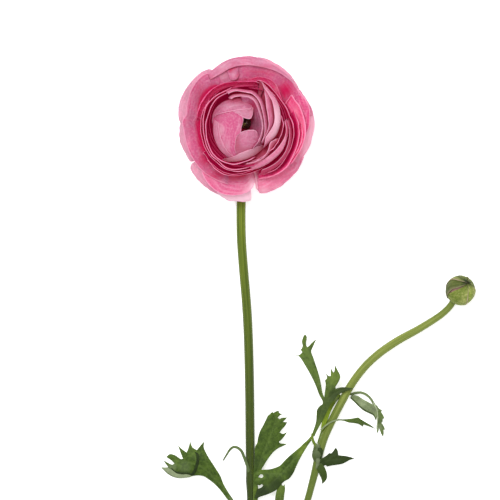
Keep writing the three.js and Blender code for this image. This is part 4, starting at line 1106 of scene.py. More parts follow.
def inside(points, line):
    """Which points lie inside a closed line."""
    x, y = points[:, 0][:, None], points[:, 1][:, None]
    ax, ay = line[:, 0][None], line[:, 1][None]
    bx, by = np.roll(line[:, 0], -1)[None], np.roll(line[:, 1], -1)[None]
    crosses = ((ay > y) != (by > y)) & (x < (bx - ax) * (y - ay) / np.where(by == ay, 1e-9, by - ay) + ax)
    return crosses.sum(axis=1) % 2 == 1


def distance_to(points, line, closed=False):
    """How far each point is from a line, and how far along the line its nearest place is."""
    starts = line if closed else line[:-1]
    ends = np.roll(line, -1, axis=0) if closed else line[1:]
    way = ends - starts
    length = np.maximum((way**2).sum(axis=1), 1e-9)
    share = np.clip(((points[:, None] - starts[None]) * way[None]).sum(axis=2) / length, 0, 1)
    near = starts[None] + way[None] * share[..., None]
    gap = np.linalg.norm(points[:, None] - near, axis=2)
    best = gap.argmin(axis=1)
    rows = np.arange(len(points))
    return gap[rows, best], (best + share[rows, best]) / len(starts)


def side_veins(tips, trunks):
    """A vein from each tooth's tip back to the trunk, which it meets well below the tooth."""
    veins = []
    for tip in tips:
        found = []
        for trunk in trunks:
            fine = evenly(np.array(trunk, float), 60)
            gap = np.linalg.norm(fine - tip, axis=1)
            found.append((gap.min(), gap.argmin(), fine))
        gap, nearest, fine = min(found, key=lambda f: f[0])
        if gap < 0.8:
            continue
        length = np.linalg.norm(fine[-1] - fine[0])
        back = fine[max(0, int(nearest - gap * 1.1 / max(length, 1) * 60))]
        bend = back * 0.45 + tip * 0.55 + (fine[nearest] - back) * 0.18
        veins.append(smooth_path([back, bend, tip], 8))
    return veins


def from_picture(points):
    """Points given in dots of the picture, some with a height, turned to mm from the bloom's axis."""
    places = [seen(p[0], p[1], p[2] if len(p) > 2 else 5.0) for p in points]
    return [(x - AXIS[0], y - AXIS[1], *p[2:]) for (x, y, _), p in zip(places, points)]


def filled(line, draw):
    """The points and triangles that fill a closed line."""
    low, high = line.min(axis=0), line.max(axis=0)
    across, down = np.meshgrid(np.arange(low[0], high[0], BLADE_STEP), np.arange(low[1], high[1], BLADE_STEP))
    field = np.stack([across.ravel(), down.ravel()], axis=1)
    field = field + np.array([[draw.uniform(-0.15, 0.15), draw.uniform(-0.15, 0.15)] for _ in field])
    field = field[inside(field, line)]
    field = field[distance_to(field, line, closed=True)[0] > 0.3]
    corners = [tuple(p) for p in np.vstack([line, field])]
    edges = [(k, (k + 1) % len(line)) for k in range(len(line))]
    flat, _, triangles, *_ = delaunay_2d_cdt(corners, edges, [], 1, 1e-5)
    flat = np.array([tuple(p) for p in flat])
    triangles = np.array([t for t in triangles if len(t) == 3])
    a, b, c = (flat[triangles[:, k]] for k in range(3))
    area = (b[:, 0] - a[:, 0]) * (c[:, 1] - a[:, 1]) - (b[:, 1] - a[:, 1]) * (c[:, 0] - a[:, 0])
    triangles[area < 0] = triangles[area < 0][:, ::-1]
    return flat, triangles[np.abs(area) > 1e-7]


def border_of(triangles):
    """The edges that belong to one triangle only."""
    edges = np.vstack([triangles[:, [0, 1]], triangles[:, [1, 2]], triangles[:, [2, 0]]])
    _, first, times = np.unique(np.sort(edges, axis=1), axis=0, return_index=True, return_counts=True)
    return edges[first[times == 1]]


def grow_blade(growth, leaf, seed, fold=0.12, thick=0.5, lift=0.0, tints=(), **tones):
    """A toothed leaf blade, laid over its heights, folded along its trunks and veined to its teeth.

    tones gives how pale, deep or fresh all of it is, and tints where it is more so: (trait, x, y, reach,
    amount), placed in the picture.
    """
    draw = random.Random(seed)
    line, teeth = outline_line(leaf["outline"])
    flat, triangles = filled(line, draw)
    margin = distance_to(flat, line, closed=True)[0]
    trunk_gap = np.min([distance_to(flat, np.array(t, float))[0] for t in leaf["trunks"]], axis=0)
    rib = np.exp(-((trunk_gap / 0.42) ** 2))
    for vein in side_veins(teeth, leaf["trunks"]):
        gap, along = distance_to(flat, vein)
        rib = np.maximum(rib, np.exp(-((gap / (0.3 - 0.14 * along)) ** 2)) * 0.8)
    z = spread_ground(leaf["heights"])(flat)
    z = z + fold * np.minimum(trunk_gap, 5) - 0.16 * rib + lift
    for _ in range(3):
        angle, pitch = draw.uniform(0, 2 * math.pi), draw.uniform(0.35, 0.9)
        along = flat @ [math.cos(angle), math.sin(angle)]
        z = z + BLADE_WAVE * np.sin(along * pitch + draw.uniform(0, 6.3))
    z = np.maximum(z, 0.35 + thick / 2)
    points = np.column_stack([flat, z])
    a, b, c = (points[triangles[:, k]] for k in range(3))
    normal = np.zeros_like(points)
    for k in range(3):
        np.add.at(normal, triangles[:, k], np.cross(b - a, c - a))
    normal = unit(normal)
    half = (thick * (0.45 + 0.55 * smoothstep(margin, 0, 1.2)) / 2)[:, None]
    total = len(points)
    border = border_of(triangles)
    wall = np.column_stack([border[:, 1], border[:, 0], border[:, 0] + total, border[:, 1] + total])
    shades = {trait: np.full(total, float(tones.get(trait, 0.0))) for trait in ("pale", "deep", "fresh")}
    for trait, x, y, reach, amount in tints:
        (at,) = from_picture([(x, y)])
        near = 1 - smoothstep(np.hypot(flat[:, 0] - at[0], flat[:, 1] - at[1]), reach * 0.3, reach)
        shades[trait] = np.maximum(shades[trait], near * amount)
    growth.add(
        from_axis(np.vstack([points + normal * half, points - normal * half])),
        [triangles, triangles[:, ::-1] + total, wall],
        rib=np.tile(rib, 2), margin=np.tile(np.minimum(margin, 3), 2), deep=np.tile(shades["deep"], 2),
        fresh=np.tile(shades["fresh"], 2),
        pale=np.concatenate([shades["pale"], np.maximum(shades["pale"], UNDERSIDE_PALE)]),
    )


def grow_stalk(growth, route, thick, thin, **traits):
    """A flattened leaf stalk that thins from one radius to the other."""
    path = smooth_path(from_axis(route), max(24, len(route) * 12))
    radius = thick + (thin - thick) * np.linspace(0, 1, len(path))
    grow_tube(growth, path, radius, sides=16, ribs=0.04, flat=0.8, margin=3.0, **traits)


# Each leaf lies over its heights (x, y, z), and its trunks are its main veins, in mm from the bloom's axis.
LEFT_LEAF = {
    "outline": [
        (-7.3, -210.1), (-10.1, -206), (-12.5, -202), (-13.5, -199.7), (-14.7, -196.5), (-17.9, -191.3),
        (-21.1, -186.3), (-23.1, -182.7), (-23.9, -180.3), (-23.5, -177.1), (-25.7, -179.5),
        (-27.7, -182.1), (-30.3, -180.5), (-31.5, -177.3), (-32.5, -181.1), (-33.5, -183.5),
        (-36.3, -181.5), (-38.5, -179.3), (-36.5, -184.5), (-35.5, -186.9), (-36.9, -187.1),
        (-39.9, -185.1), (-42.9, -184.5), (-44.9, -186.1), (-42.1, -187.9), (-40.3, -189.7),
        (-41.9, -190.3), (-46.7, -187.9), (-43.7, -191.9), (-47.7, -192.1), (-43.9, -195.7),
        (-40.3, -197.5), (-36.3, -197.9), (-30.3, -196.7), (-26.7, -196.3), (-23.7, -196.9),
        (-20.7, -198.9), (-17.9, -201.1), (-15.1, -204.1), (-12.7, -207.1), (-10.1, -210.3),
    ],
    "heights": [
        (-8.3, -209.5, 3.6), (-13.3, -202.5, 4.4), (-19.3, -195.5, 6.2), (-25.3, -189.5, 8),
        (-28.7, -183.5, 8.4), (-23.9, -178.5, 7.4), (-32.3, -189.5, 7.6), (-31.3, -179.5, 5.4),
        (-37.3, -181.5, 3.4), (-38.3, -190.5, 5.6), (-43.9, -185.9, 2.6), (-45.8, -189.5, 1.6),
        (-46.3, -192.5, 1.2), (-38.3, -196.5, 2.4), (-30.3, -195.5, 4.6),
    ],
    "petiole": [
        (-0.8, -243.5, 3.4), (-2.5, -235.5, 4), (-3.9, -225.5, 4), (-5.9, -216.5, 3.7), (-9.5, -208.1, 3.8),
    ],
    "trunks": [[(-8.9, -208), (-14, -201.5), (-20, -195.5), (-26, -190.5), (-33, -188.3), (-45, -187.6)],
               [(-20, -195.5), (-23, -187), (-23.6, -178)], [(-26, -190.5), (-29.5, -184), (-31.5, -178)]],
}
# On the left leaf: its turned-up pale edge, and two dark sheets laid on it as painted shade: the shadow line
# above that edge and the shade of the fold across it.
TURNED_EDGE = from_picture([
    (160.7, 466.9), (165, 467.1), (170, 468.6), (175, 472), (180, 473.3), (187, 473.9), (192.6, 475.4),
    (188, 476.9), (180, 477.6), (173.5, 476.4), (167.5, 472.9), (163.5, 469.6),
])
EDGE_SHADOW = from_picture([
    (171, 467.2), (175, 470.6), (181, 471.7), (187, 472), (193.4, 473.3), (193, 475.4), (187, 474.2),
    (180, 473.6), (175, 472.4), (171.5, 469.3),
])
FOLD_SHADE = from_picture([
    (194.3, 451), (197, 452), (198.8, 455), (198.8, 460), (197.6, 465.5), (195.6, 470.5), (193.2, 474.6),
    (190, 475.2), (192.5, 470.5), (194.8, 464.5), (196, 458.5), (195.8, 454.5),
])
TOOTHED_LEAF = {
    "outline": [
        (4.6, -185.5), (4.7, -180.5), (5.9, -178.1), (6.4, -175.1), (7.5, -171.5), (9.2, -168.3),
        (10.6, -165.5), (12, -162.7), (13.1, -161.9), (14.3, -160.7), (15.1, -161.4), (15.9, -160.7),
        (17.9, -160), (18.3, -161.4), (20.1, -162.1), (18.5, -162.8), (17.4, -164.1), (18.5, -164.9),
        (19.9, -164.1), (22.9, -163.9), (21.1, -165.7), (20.3, -166.3), (22.7, -166.7), (21.3, -168.9),
        (19.6, -170.7), (18.5, -172.3), (20.3, -173.1), (22.8, -172.1), (20.9, -174.7), (19.3, -176.5),
        (18.1, -177.4), (18.9, -178.4), (23.1, -178.6), (20.5, -179.9), (18.5, -180.7), (15.9, -182.4),
        (13.7, -184.7), (11.7, -187.5), (10.1, -190.1), (8.6, -192.5), (7.1, -195.9), (6.3, -200.1),
        (6.5, -205), (6.2, -210.5), (5.2, -214), (3.6, -214), (3.8, -202), (4, -194.5),
    ],
    "heights": [
        (5.3, -208, 5.4), (4.8, -213.5, 5.1), (5.1, -201.5, 5.6), (5.1, -194.5, 5.8), (5.7, -187.5, 6.4),
        (8.7, -181.5, 7.6), (11.7, -174.5, 8.6), (14.7, -167.5, 8.4), (17.7, -160.5, 5.6),
        (22.7, -164.5, 4.2), (22.7, -172.1, 3.6), (22.7, -178.5, 3.2), (6.7, -175.5, 9.2),
        (11.7, -163.5, 8.6), (8.1, -192.1, 5.9),
    ],
    "trunks": [[(5.2, -201), (6.5, -192), (9.5, -183), (13.5, -173), (17.5, -161)]],
}
FORKED_UPPER = {
    "outline": [
        (36.1, -174.4), (37.2, -171.4), (38.3, -168.1), (38.9, -165.3), (39.1, -161.9), (39.3, -159.7),
        (40.6, -157.7), (42.5, -156.3), (42.4, -154.5), (40.6, -151.3), (38.9, -146.8), (37.2, -142.9),
        (35.5, -139.5), (32.7, -134.7), (30.5, -131.1), (28.5, -128.9), (26.3, -129.9), (29.7, -128.7),
        (31.1, -127.4), (30.3, -126.1), (31.3, -124.1), (30.9, -121.5), (31.3, -119.9), (32.2, -117.9),
        (33.1, -117.7), (33.7, -119.1), (33.3, -121.7), (33.3, -123.5), (33.9, -124.7), (34.9, -123.9),
        (36.5, -122.1), (39.1, -120), (37.5, -123.5), (36.1, -126.7), (36.4, -128.3), (37.5, -131.1),
        (39.7, -137.8), (40.8, -141.7), (41.5, -145.1), (42.3, -149.7), (43.3, -152.5), (43.9, -147.9),
        (44.1, -145.1), (43.8, -143.1), (44.9, -141.7), (44.3, -139.3), (45.7, -140.5), (46.9, -140.7),
        (47, -136.1), (48.4, -138.7), (49, -138.1), (49.3, -134.5), (51.5, -138.7), (52.3, -140.9),
        (51.7, -143.1), (50.6, -145.1), (49.7, -146.5), (49.7, -147.7), (52.9, -146.9), (56.7, -147.1),
        (59.7, -147.7), (56.7, -148.7), (54.6, -149.5), (52.9, -150.2), (51.2, -151.3), (49.7, -153),
        (48.1, -155), (46.5, -157.2), (45.3, -159.7), (43.7, -163), (42.3, -165.8), (40.8, -168.6),
        (39.3, -171.4), (37.9, -174.5),
    ],
    "heights": [
        (36.9, -174.5, 6.2), (38.9, -169.5, 7), (41.1, -162.5, 8.4), (44.3, -156.5, 9.6),
        (41.9, -151.5, 10.2), (39.3, -143.5, 11.4), (35.7, -134.5, 11), (32.3, -126.5, 8.8),
        (32.7, -118.1, 5), (38.7, -120.5, 5.6), (26.7, -129.5, 7.6), (46.3, -149.5, 10.8),
        (47.3, -141.5, 12), (49.7, -135.5, 9.6), (44.3, -139.5, 9.4), (51.7, -140.5, 11),
        (50.7, -149.5, 10.4), (54.7, -148.1, 10.2), (59.7, -147.7, 9.4),
    ],
    "trunks": [[(37, -174.4), (39.6, -168), (41.9, -160), (43.6, -154.5), (41.5, -149), (39.5, -141.5),
                (36, -133.5), (33.5, -126), (32.9, -118.5)],
               [(43.6, -154.5), (46.5, -148), (48, -141), (49.2, -135.5)],
               [(43.9, -155.5), (48.5, -150.3), (53, -148.4), (59, -147.8)]],
}
FORKED_LOWER = {
    "outline": from_picture([
        (310.3, 438.2), (307, 439.8), (303.5, 442.5), (300, 446), (294, 451), (288, 456), (283, 461),
        (279, 465), (272, 467.8), (266, 468.8), (261, 469), (257, 469.5), (254.5, 471.5), (255, 474),
        (258.9, 474.9), (260.2, 473.6), (262, 473.9), (262.9, 475.3), (262, 476.8), (260.3, 477.3),
        (258.8, 476.6), (255, 477.2), (254, 481), (256, 483.4), (259, 484.6), (261.4, 483.4),
        (262.6, 484.8), (261, 486.6), (259, 487.6), (257, 488.3), (255.5, 491.5), (253.6, 497.4),
        (257, 497.4), (260, 496), (266, 494), (272, 491.5), (277, 488.3), (280, 484.5), (284, 480.5),
        (288.5, 478), (293, 472), (296, 465), (300, 457), (306, 447), (311, 439.8),
    ]),
    "heights": [
        (35.7, -175.9, 6.1), (31.7, -180.5, 6.6), (26.7, -186.5, 7.8), (21.7, -192.5, 8.6),
        (15.7, -197.5, 8.8), (7.7, -194.5, 7.2), (6.0, -200.5, 7.2), (5.0, -208.5, 6.9),
        (14.7, -204.5, 7.4), (25.7, -193.5, 6.8),
    ],
    "trunks": [[(35.7, -175.6), (31, -181.5), (25.5, -188), (19.5, -195), (13, -201), (7, -207.5)],
               [(19.5, -195), (13, -195), (6, -194.5)]],
}
HANGING_LOBE = {
    "outline": from_picture([
        (278.5, 481), (281, 482.4), (281.6, 484.6), (283.2, 485), (284.2, 483.6), (284.4, 486),
        (284.6, 488.5), (283.8, 494), (283.2, 500), (282, 506), (280.5, 512), (278.2, 517), (276.3, 511),
        (274.6, 504.5), (274.6, 498), (275.6, 492), (277, 486.5),
    ]),
    "heights": [
        (18.7, -199.5, 8.2), (18.9, -204.5, 6.4), (18.5, -211.5, 4.2), (17.9, -219.5, 1.2),
    ],
    "trunks": [[(18.8, -199.8), (19, -206), (18.4, -213), (17.9, -219.5)]],
}
DARK_LEAF = {
    "outline": [
        (41.3, -186.9), (42.3, -186.7), (44.5, -185.3), (46.3, -183.8), (47.3, -184.1), (48.5, -182.7),
        (49.9, -180.7), (50.9, -182.3), (51.3, -185.1), (54.7, -185.4), (57.5, -186), (60.6, -187),
        (58, -187.7), (55.7, -188.9), (53.5, -189.9), (50.1, -190.5), (47.3, -190.9), (45, -191.4),
        (44.4, -190.6), (42.5, -191.1), (40.9, -190.3),
    ],
    "heights": [
        (42.7, -188.5, 4.9), (46.7, -187.5, 5.2), (49.9, -181.5, 4.6), (53.7, -187.5, 4), (60.5, -187, 1.6),
        (44.7, -191.1, 3.6),
    ],
    "trunks": [[(42, -188.8), (46.5, -187.4), (52, -187), (60, -187)],
               [(45, -187.8), (48, -184.5), (49.9, -181.2)]],
}
DROPPED_LOBE = {
    "outline": [
        (39.5, -192.5), (40.9, -196.1), (42, -198.9), (42.3, -201.3), (44.1, -199.5), (45, -197.5),
        (44.9, -195.1), (44.3, -193.3), (43.1, -190.9), (41.3, -189.5),
    ],
    "heights": [
        (41.3, -190.5, 5.8), (42.1, -194.5, 5), (43.1, -197.5, 3.2), (42.5, -201.1, 1.2),
    ],
    "trunks": [[(41.5, -190.5), (42.6, -195), (42.8, -200.5)]],
}
# The nodding leaf: a stalk that arches over, a pale lobe turned over under it and a toothed end that hangs.
NODDING_STALK = from_picture([
    (317.5, 443, 2.3), (320.3, 434, 2.2), (322.5, 427, 2.0), (325.5, 419, 1.9), (329, 411, 1.8),
    (333.3, 403.5, 1.7), (338.5, 397, 1.6), (344.5, 394.3, 1.6), (351.7, 393.7, 2.2),
])
NODDING_ARCH = from_picture([
    (350.5, 394, 2.0), (353, 393, 2.5), (356.5, 392.2, 3.4), (361, 392.1, 4.8), (365.7, 394, 6.2),
    (369.8, 397.6, 7.2), (372.8, 402.4, 7.2), (375.5, 406.8, 6.6), (378, 410.5, 5.8),
])
NODDING_RIB = from_picture([
    (372.6, 402, 7.9), (374.6, 405.5, 7.6), (376.6, 410, 6.4), (377.2, 417, 5.0), (376.8, 424, 3.3),
    (377.2, 431, 1.6),
])
NODDING_UNDERSIDE = {
    "outline": from_picture([
        (350, 396.2), (353.1, 394.7), (357.7, 395.7), (361.6, 398.2), (366.8, 401.1), (372.1, 403.8),
        (374, 404.6), (375.4, 408), (376.4, 412), (376.5, 416), (375.7, 418.8), (374.2, 415), (372.5, 413),
        (370, 411.9), (364.4, 409.2), (360.1, 406), (355, 400.9), (352, 398),
    ]),
    "heights": from_picture([
        (351, 396.3, 2.2), (359, 400.5, 3.2), (367, 406, 4.8), (373, 408, 5.8), (375.8, 419, 3.4),
    ]),
    "trunks": [from_picture([(350.8, 396.2), (358, 399.6), (366, 404), (372.4, 409), (375.6, 418.7)])],
}
NODDING_END = {
    "outline": from_picture([
        (373.8, 403.4), (376.5, 405.2), (378.6, 408), (381.6, 409.8), (380.6, 411.6), (382.2, 414),
        (384, 417.6), (382.3, 418.6), (382.1, 421), (381, 422.6), (383.2, 425.5), (384.5, 429),
        (383, 429.6), (383.3, 432.6), (382.7, 436.6), (380.6, 433), (379.6, 430), (378.6, 427.6),
        (377.6, 431.6), (376.6, 432.8), (376.1, 427), (376.5, 421), (376.4, 415), (375.4, 410),
        (373.8, 406.5),
    ]),
    "heights": from_picture([
        (374.5, 404.5, 6.8), (379, 410, 5.6), (380, 418, 4.2), (381, 426, 2.6), (382.6, 436, 1.1),
        (377, 430, 1.6),
    ]),
    "trunks": [from_picture([(374.4, 404.8), (378.3, 411), (379.6, 418), (380.6, 426), (382.4, 435.5)])],
}
# The fresh green strap beside the side stem.
STRAP = {
    "outline": from_picture([
        (321.4, 431), (320.6, 427), (321.6, 421), (323.8, 415), (326.8, 408.5), (330.3, 402.5),
        (334.3, 397.5), (338.5, 393.5), (340, 394.2), (338, 397.8), (335, 402), (332.2, 407),
        (329.8, 412.3), (327.9, 417.6), (326, 422.6), (324.2, 427.8), (322.6, 431),
    ]),
    "heights": from_picture([(322, 430.5, 4.2), (327, 415, 5.4), (333, 403, 5.6), (339.5, 394.5, 4.8)]),
    "trunks": [from_picture([(322, 430.5), (325, 420), (329.5, 410), (334.5, 401.5), (339.3, 394.6)])],
}
SLENDER_LEAF = {
    "outline": from_picture([
        (337.2, 418.9), (344.6, 418.6), (351.1, 418), (357.7, 416.9), (359.4, 418.2), (364.2, 421.2),
        (370.8, 425.2), (374.6, 428.5), (370.8, 426.8), (365.5, 424.9), (362.9, 424.2), (362.3, 426.2),
        (360.3, 424.9), (358.3, 423.6), (353.8, 422.6), (348.5, 422), (344.6, 420.7), (341.3, 420),
        (337.2, 419.7),
    ]),
    "heights": [
        (51, -165.3, 7.3), (54.1, -165.2, 7.1), (58.7, -165.5, 7), (63.3, -165.5, 6.2), (66.7, -167.5, 3.8),
        (71.7, -170.1, 1.1),
    ],
    "petiole": [
        (41.5, -170.9, 6.4), (44.3, -168.3, 7.5), (47.3, -166.3, 7.4), (50.7, -165.3, 7.1),
        (55.7, -165.3, 6.8),
    ],
    "trunks": [from_picture([(337.5, 419.3), (348, 420.2), (356, 420.2), (364, 423.3), (374, 428.2)])],
}
LOW_LEAF = {
    "outline": [
        (-4.7, -252.1), (-8.3, -245.5), (-9.9, -240.1), (-9.7, -232.9), (-9.1, -227.9), (-10.3, -223.7),
        (-11.9, -218.9), (-12.1, -210.1), (-14.5, -215.5), (-16.1, -219.9), (-18.3, -218.1),
        (-19.7, -214.1), (-20.7, -218.9), (-21.9, -221.1), (-24.7, -216.3), (-27.3, -209.9),
        (-27.3, -216.5), (-26.7, -221.5), (-29.9, -221.9), (-34.3, -219.1), (-31.9, -224.5),
        (-29.3, -228.3), (-32.1, -229.7), (-36.9, -228.9), (-32.3, -233.5), (-26.3, -237.5),
        (-19.9, -241.1), (-14.3, -245.1), (-9.3, -250.1), (-6.3, -253.7),
    ],
    "heights": [
        (-5.3, -252.5, 3.4), (-11.3, -242.5, 5), (-17.3, -233.5, 7), (-22.3, -227.5, 7.4),
        (-14.3, -225.5, 6.6), (-12.3, -211.5, 1.6), (-19.9, -215.5, 3), (-27.3, -211.5, 1.4),
        (-34.3, -220.1, 1.2), (-36.3, -229.1, 1.1), (-24.3, -237.5, 4),
    ],
    "petiole": [
        (-0.3, -262.5, 3), (-2.1, -258.5, 3.2), (-4.1, -255.1, 3.3), (-7.3, -249.1, 4),
    ],
    "trunks": [[(-6, -252), (-12, -243), (-18, -235), (-23, -227), (-27, -211)],
               [(-12, -243), (-12.5, -230), (-12.1, -212)], [(-18, -235), (-27, -231), (-36, -229)]],
}
CURLED_ROUTE = [
    (2.1, -198.5, 3.4), (1.0, -193, 5.2), (-0.1, -189.5, 6.2), (-1.4, -186, 7.4), (-2.9, -182.6, 8.6),
    (-5.1, -180.7, 9.4), (-7.3, -180.4, 9), (-9.2, -181.8, 7.4), (-11, -184.6, 4.4), (-13.1, -188.1, 1.2),
]
FORK_STALK = from_picture([(316.4, 448, 4.4), (314.4, 444.2, 4.9), (312.7, 440.8, 5.6), (311.8, 437.4, 6.1),
                           (311.9, 433, 6.5)])
FORK_BRANCH = [(36.7, -174.5, 6.3), (35.3, -176.1, 6.2), (33.1, -178.5, 6.4)]


def blade_piece(name, node, blades, stalks=(), curled=None):
    """A leaf's piece, of blades with their options and stalks with their two radii, or of a curled lobe."""
    growth = Growth()
    for k, (leaf, options) in enumerate(blades):
        grow_blade(growth, leaf, seed=len(name) + k, **options)
    for route, thick, thin, options in stalks:
        grow_stalk(growth, route, thick, thin, **options)
    if curled:
        path = smooth_path(from_axis(curled), 120)
        share = np.linspace(0, 1, len(path))
        radius = 0.8 * (1 - 0.6 * share**4)
        grow_tube(growth, path, radius, sides=16, ribs=0.05, flat=0.42, margin=3.0, pale=0.2)
    growth.piece(name, LEAF_GREEN, "leaf", node)


blade_piece("leaf_left", "left_leaf", [
    (LEFT_LEAF, {"tints": [("pale", 184, 467, 5, 0.12), ("pale", 172, 466, 3.5, 0.25),
                           ("deep", 196, 459, 5, 0.15)]}),
    # Dark sheets laid over the blade: painted shade of the fold and painted shadow along the turned edge.
    ({**LEFT_LEAF, "outline": FOLD_SHADE}, {"lift": 0.75, "deep": 0.95, "thick": 0.3}),
    ({**LEFT_LEAF, "outline": EDGE_SHADOW}, {"lift": 0.75, "deep": 0.95, "thick": 0.3}),
    ({**LEFT_LEAF, "outline": TURNED_EDGE}, {"lift": 0.8, "pale": 0.75, "deep": 0.35, "thick": 0.3}),
], [(LEFT_LEAF["petiole"], 1.15, 0.75, {"pale": 0.2})])
blade_piece("leaf_curled", "curled_leaf", [], curled=CURLED_ROUTE)
blade_piece("leaf_toothed", "toothed_leaf", [
    (TOOTHED_LEAF, {"fold": 0.05, "tints": [("deep", 256, 462, 6, 0.35), ("fresh", 256, 492, 5, 0.15)]}),
])
blade_piece("leaf_forked", "forked_leaf", [
    (FORKED_UPPER, {"fresh": 0.04, "pale": 0.03,
                    "tints": [("deep", 320, 375, 12, 0.16), ("deep", 340, 376, 8, 0.14),
                              ("deep", 346, 389, 9, 0.7), ("deep", 334, 395, 6, 0.7),
                              ("deep", 326, 402, 5, 0.5), ("deep", 320, 413, 8, 0.45),
                              ("fresh", 334, 378, 6, 0.2)]}),
    (FORKED_LOWER, {"tints": [("deep", 262, 494, 9, 0.9), ("deep", 276, 486, 8, 0.8),
                              ("deep", 291, 474, 5, 0.5), ("fresh", 303, 450, 6, 0.25)]}),
    (HANGING_LOBE, {"fresh": 0.1, "pale": 0.04}),
], [(FORK_STALK, 0.8, 0.65, {"fresh": 0.3}), (FORK_BRANCH, 0.65, 0.65, {"fresh": 0.3})])
blade_piece("leaf_nodding", "nodding_leaf", [
    (NODDING_UNDERSIDE, {"pale": 0.5,
                         "tints": [("deep", 352, 396, 2, 0.6), ("deep", 364, 409, 2, 0.5),
                                   ("deep", 373.5, 409, 2.5, 0.8), ("pale", 362, 402, 5, 0.75)]}),
    # A darker copy of the lobe, laid just under it and shifted, as painted shade along its edge.
    ({**NODDING_UNDERSIDE, "outline": [(x - 0.25, y - 0.75) for x, y in NODDING_UNDERSIDE["outline"]]},
     {"lift": -0.9, "deep": 0.4, "thick": 0.4}),
    (NODDING_END, {"pale": 0.15,
                   "tints": [("pale", 376.5, 408, 2, 0.6), ("pale", 379, 427, 3, 0.4),
                             ("deep", 380, 421, 2.5, 0.4)]}),
    (STRAP, {"fresh": 0.8, "tints": [("pale", 337, 399, 3, 0.4), ("deep", 333, 403, 6, 0.5)]}),
], [(NODDING_STALK, 0.6, 0.5, {"fresh": 0.2}), (NODDING_ARCH, 0.75, 0.62, {"pale": 0.3}),
    (NODDING_RIB, 0.45, 0.22, {"pale": 1.0})])
blade_piece("leaf_slender", "slender_leaf", [(SLENDER_LEAF, {"tints": [("deep", 366, 423, 5, 0.3)]})],
            [(SLENDER_LEAF["petiole"], 0.5, 0.4, {"pale": 0.6})])
blade_piece("leaf_low", "low_leaf", [(LOW_LEAF, {})], [(LOW_LEAF["petiole"], 1.15, 0.75, {})])


# The strips of the sheath round the side stem: from where to where down the stem, as shares, how much each
# stands out, from where to where round it, in degrees, and its tones.
SHEATH_STRIPS = (
    (0.486, 0.528, 0.7, -84, 84, {"pale": 0.2, "deep": 0.6}),
    (0.488, 0.52, 0.85, -82, 6, {"deep": 0.8}),
    (0.49, 0.527, 0.85, 14, 86, {"pale": 0.1, "fresh": 0.12, "deep": 0.6}),
    (0.515, 0.546, 0.6, -88, 8, {"pale": 0.4, "deep": 0.7}),
    (0.485, 0.492, 0.6, -10, 70, {"pale": 0.4, "deep": 0.3}),
)


def clasping_leaf():
    """The hairy grey sheath round the side stem, with the dark leaf and the dropped lobe that it carries."""
    growth = Growth()
    draw = random.Random(31)
    path = smooth_path(from_axis(BUD_ROUTE), 1200)
    tangent = unit(np.gradient(path, axis=0))
    side = unit(np.cross(tangent, UP))
    top = np.cross(side, tangent)
    for start, end, swell, first, last, tones in SHEATH_STRIPS:
        t = np.linspace(0, 1, 40)
        at = (np.interp(t, [0, 1], [start, end]) * (len(path) - 1)).astype(int)
        shift = np.interp(at / (len(path) - 1), [0.485, 0.52, 0.546], [-1.7, -0.7, 0.2])[:, None] * [1, 0, 0]
        turn = np.radians(np.linspace(first, last, 30))
        arch = np.sin(math.pi * t)
        radius = (1.7 + 0.35 * arch**0.5 + swell * (0.55 + 0.45 * arch))[:, None]
        radius = radius + 0.16 * ripple(draw, turn, 3, 2, 6)[None] + 0.2 * ripple(draw, t, 3, 5, 14)[:, None]
        middle = (path[at] + shift)[:, None] + radius[..., None] * (
            np.sin(turn)[None, :, None] * side[at][:, None] + np.cos(turn)[None, :, None] * top[at][:, None]
        )
        grow_sheet(growth, middle, 0.35, margin=2.0, **tones)
        grow_hairs(growth, path[at] + shift, side[at], top[at], radius.mean(axis=1), 120, 0.7, draw,
                   pale=0.9, margin=2.0)
    grow_blade(growth, DARK_LEAF, seed=21, deep=0.85)
    grow_blade(growth, DROPPED_LOBE, seed=22, deep=0.6)
    growth.piece("leaf_clasping", LEAF_GREEN, "leaf", "clasping_leaf")


clasping_leaf()


# ---- The bud ----

BUD_CENTRE = AXIS + [119.6, -92.7, 8.5]
BUD_AXIS = unit(np.array([0.45, 0.52, 0.73]))
BUD_R = 8.6


def on_bud(points):
    """Points given about the bud's upright axis, leant over and in place."""
    hinge = np.cross(UP, BUD_AXIS)
    sine, cosine = np.linalg.norm(hinge), BUD_AXIS[2]
    hinge = hinge / sine
    kept = np.outer(points @ hinge, hinge) * (1 - cosine)
    return points * cosine + np.cross(hinge, points) * sine + kept + BUD_CENTRE


def turned_form(profile, rows, columns):
    """The points and faces of a form turned about its upright axis, from its profile (radius, height)."""
    shape = smooth_path(profile, rows)
    turn = np.linspace(0, 2 * math.pi, columns, endpoint=False)
    out, up = shape[:, :1], np.broadcast_to(shape[:, 1:], (rows, columns))
    points = np.stack([out * np.cos(turn), out * np.sin(turn), up], axis=-1)
    return points.reshape(-1, 3), [grid_quads(rows, columns, wrap=True)]


SEPAL_FOOT = 76  # how far down the bud its sepals reach, in degrees below its middle
SEPALS = [
    # Round the bud in degrees, from the foot to the top: the tucked edge and the free edge. Then how far up
    # it reaches, how deep, fresh and pale it is, how pale its free edge is and how strong the painted
    # highlight on its middle is.
    ((80, 80, 80, 80), (206, 200, 198, 224), 86, (0.62, 0.0, 0.0), 0.35, 0.15),
    ((194, 196, 207, 232), (303, 295, 280, 275), 87, (0.25, 0.3, 0.2), 1.0, 1.0),
    ((284, 276, 266, 262), (352, 352, 352, 330), 85, (0.0, 0.4, 0.3), 0.8, 1.0),
    ((338, 334, 330, 318), (440, 436, 430, 420), 84, (0.3, 0.15, 0.0), 0.4, 1.0),
    ((60, 58, 56, 50), (150, 150, 149, 172), 85, (0.3, 0.05, 0.0), 0.7, 0.8),
]


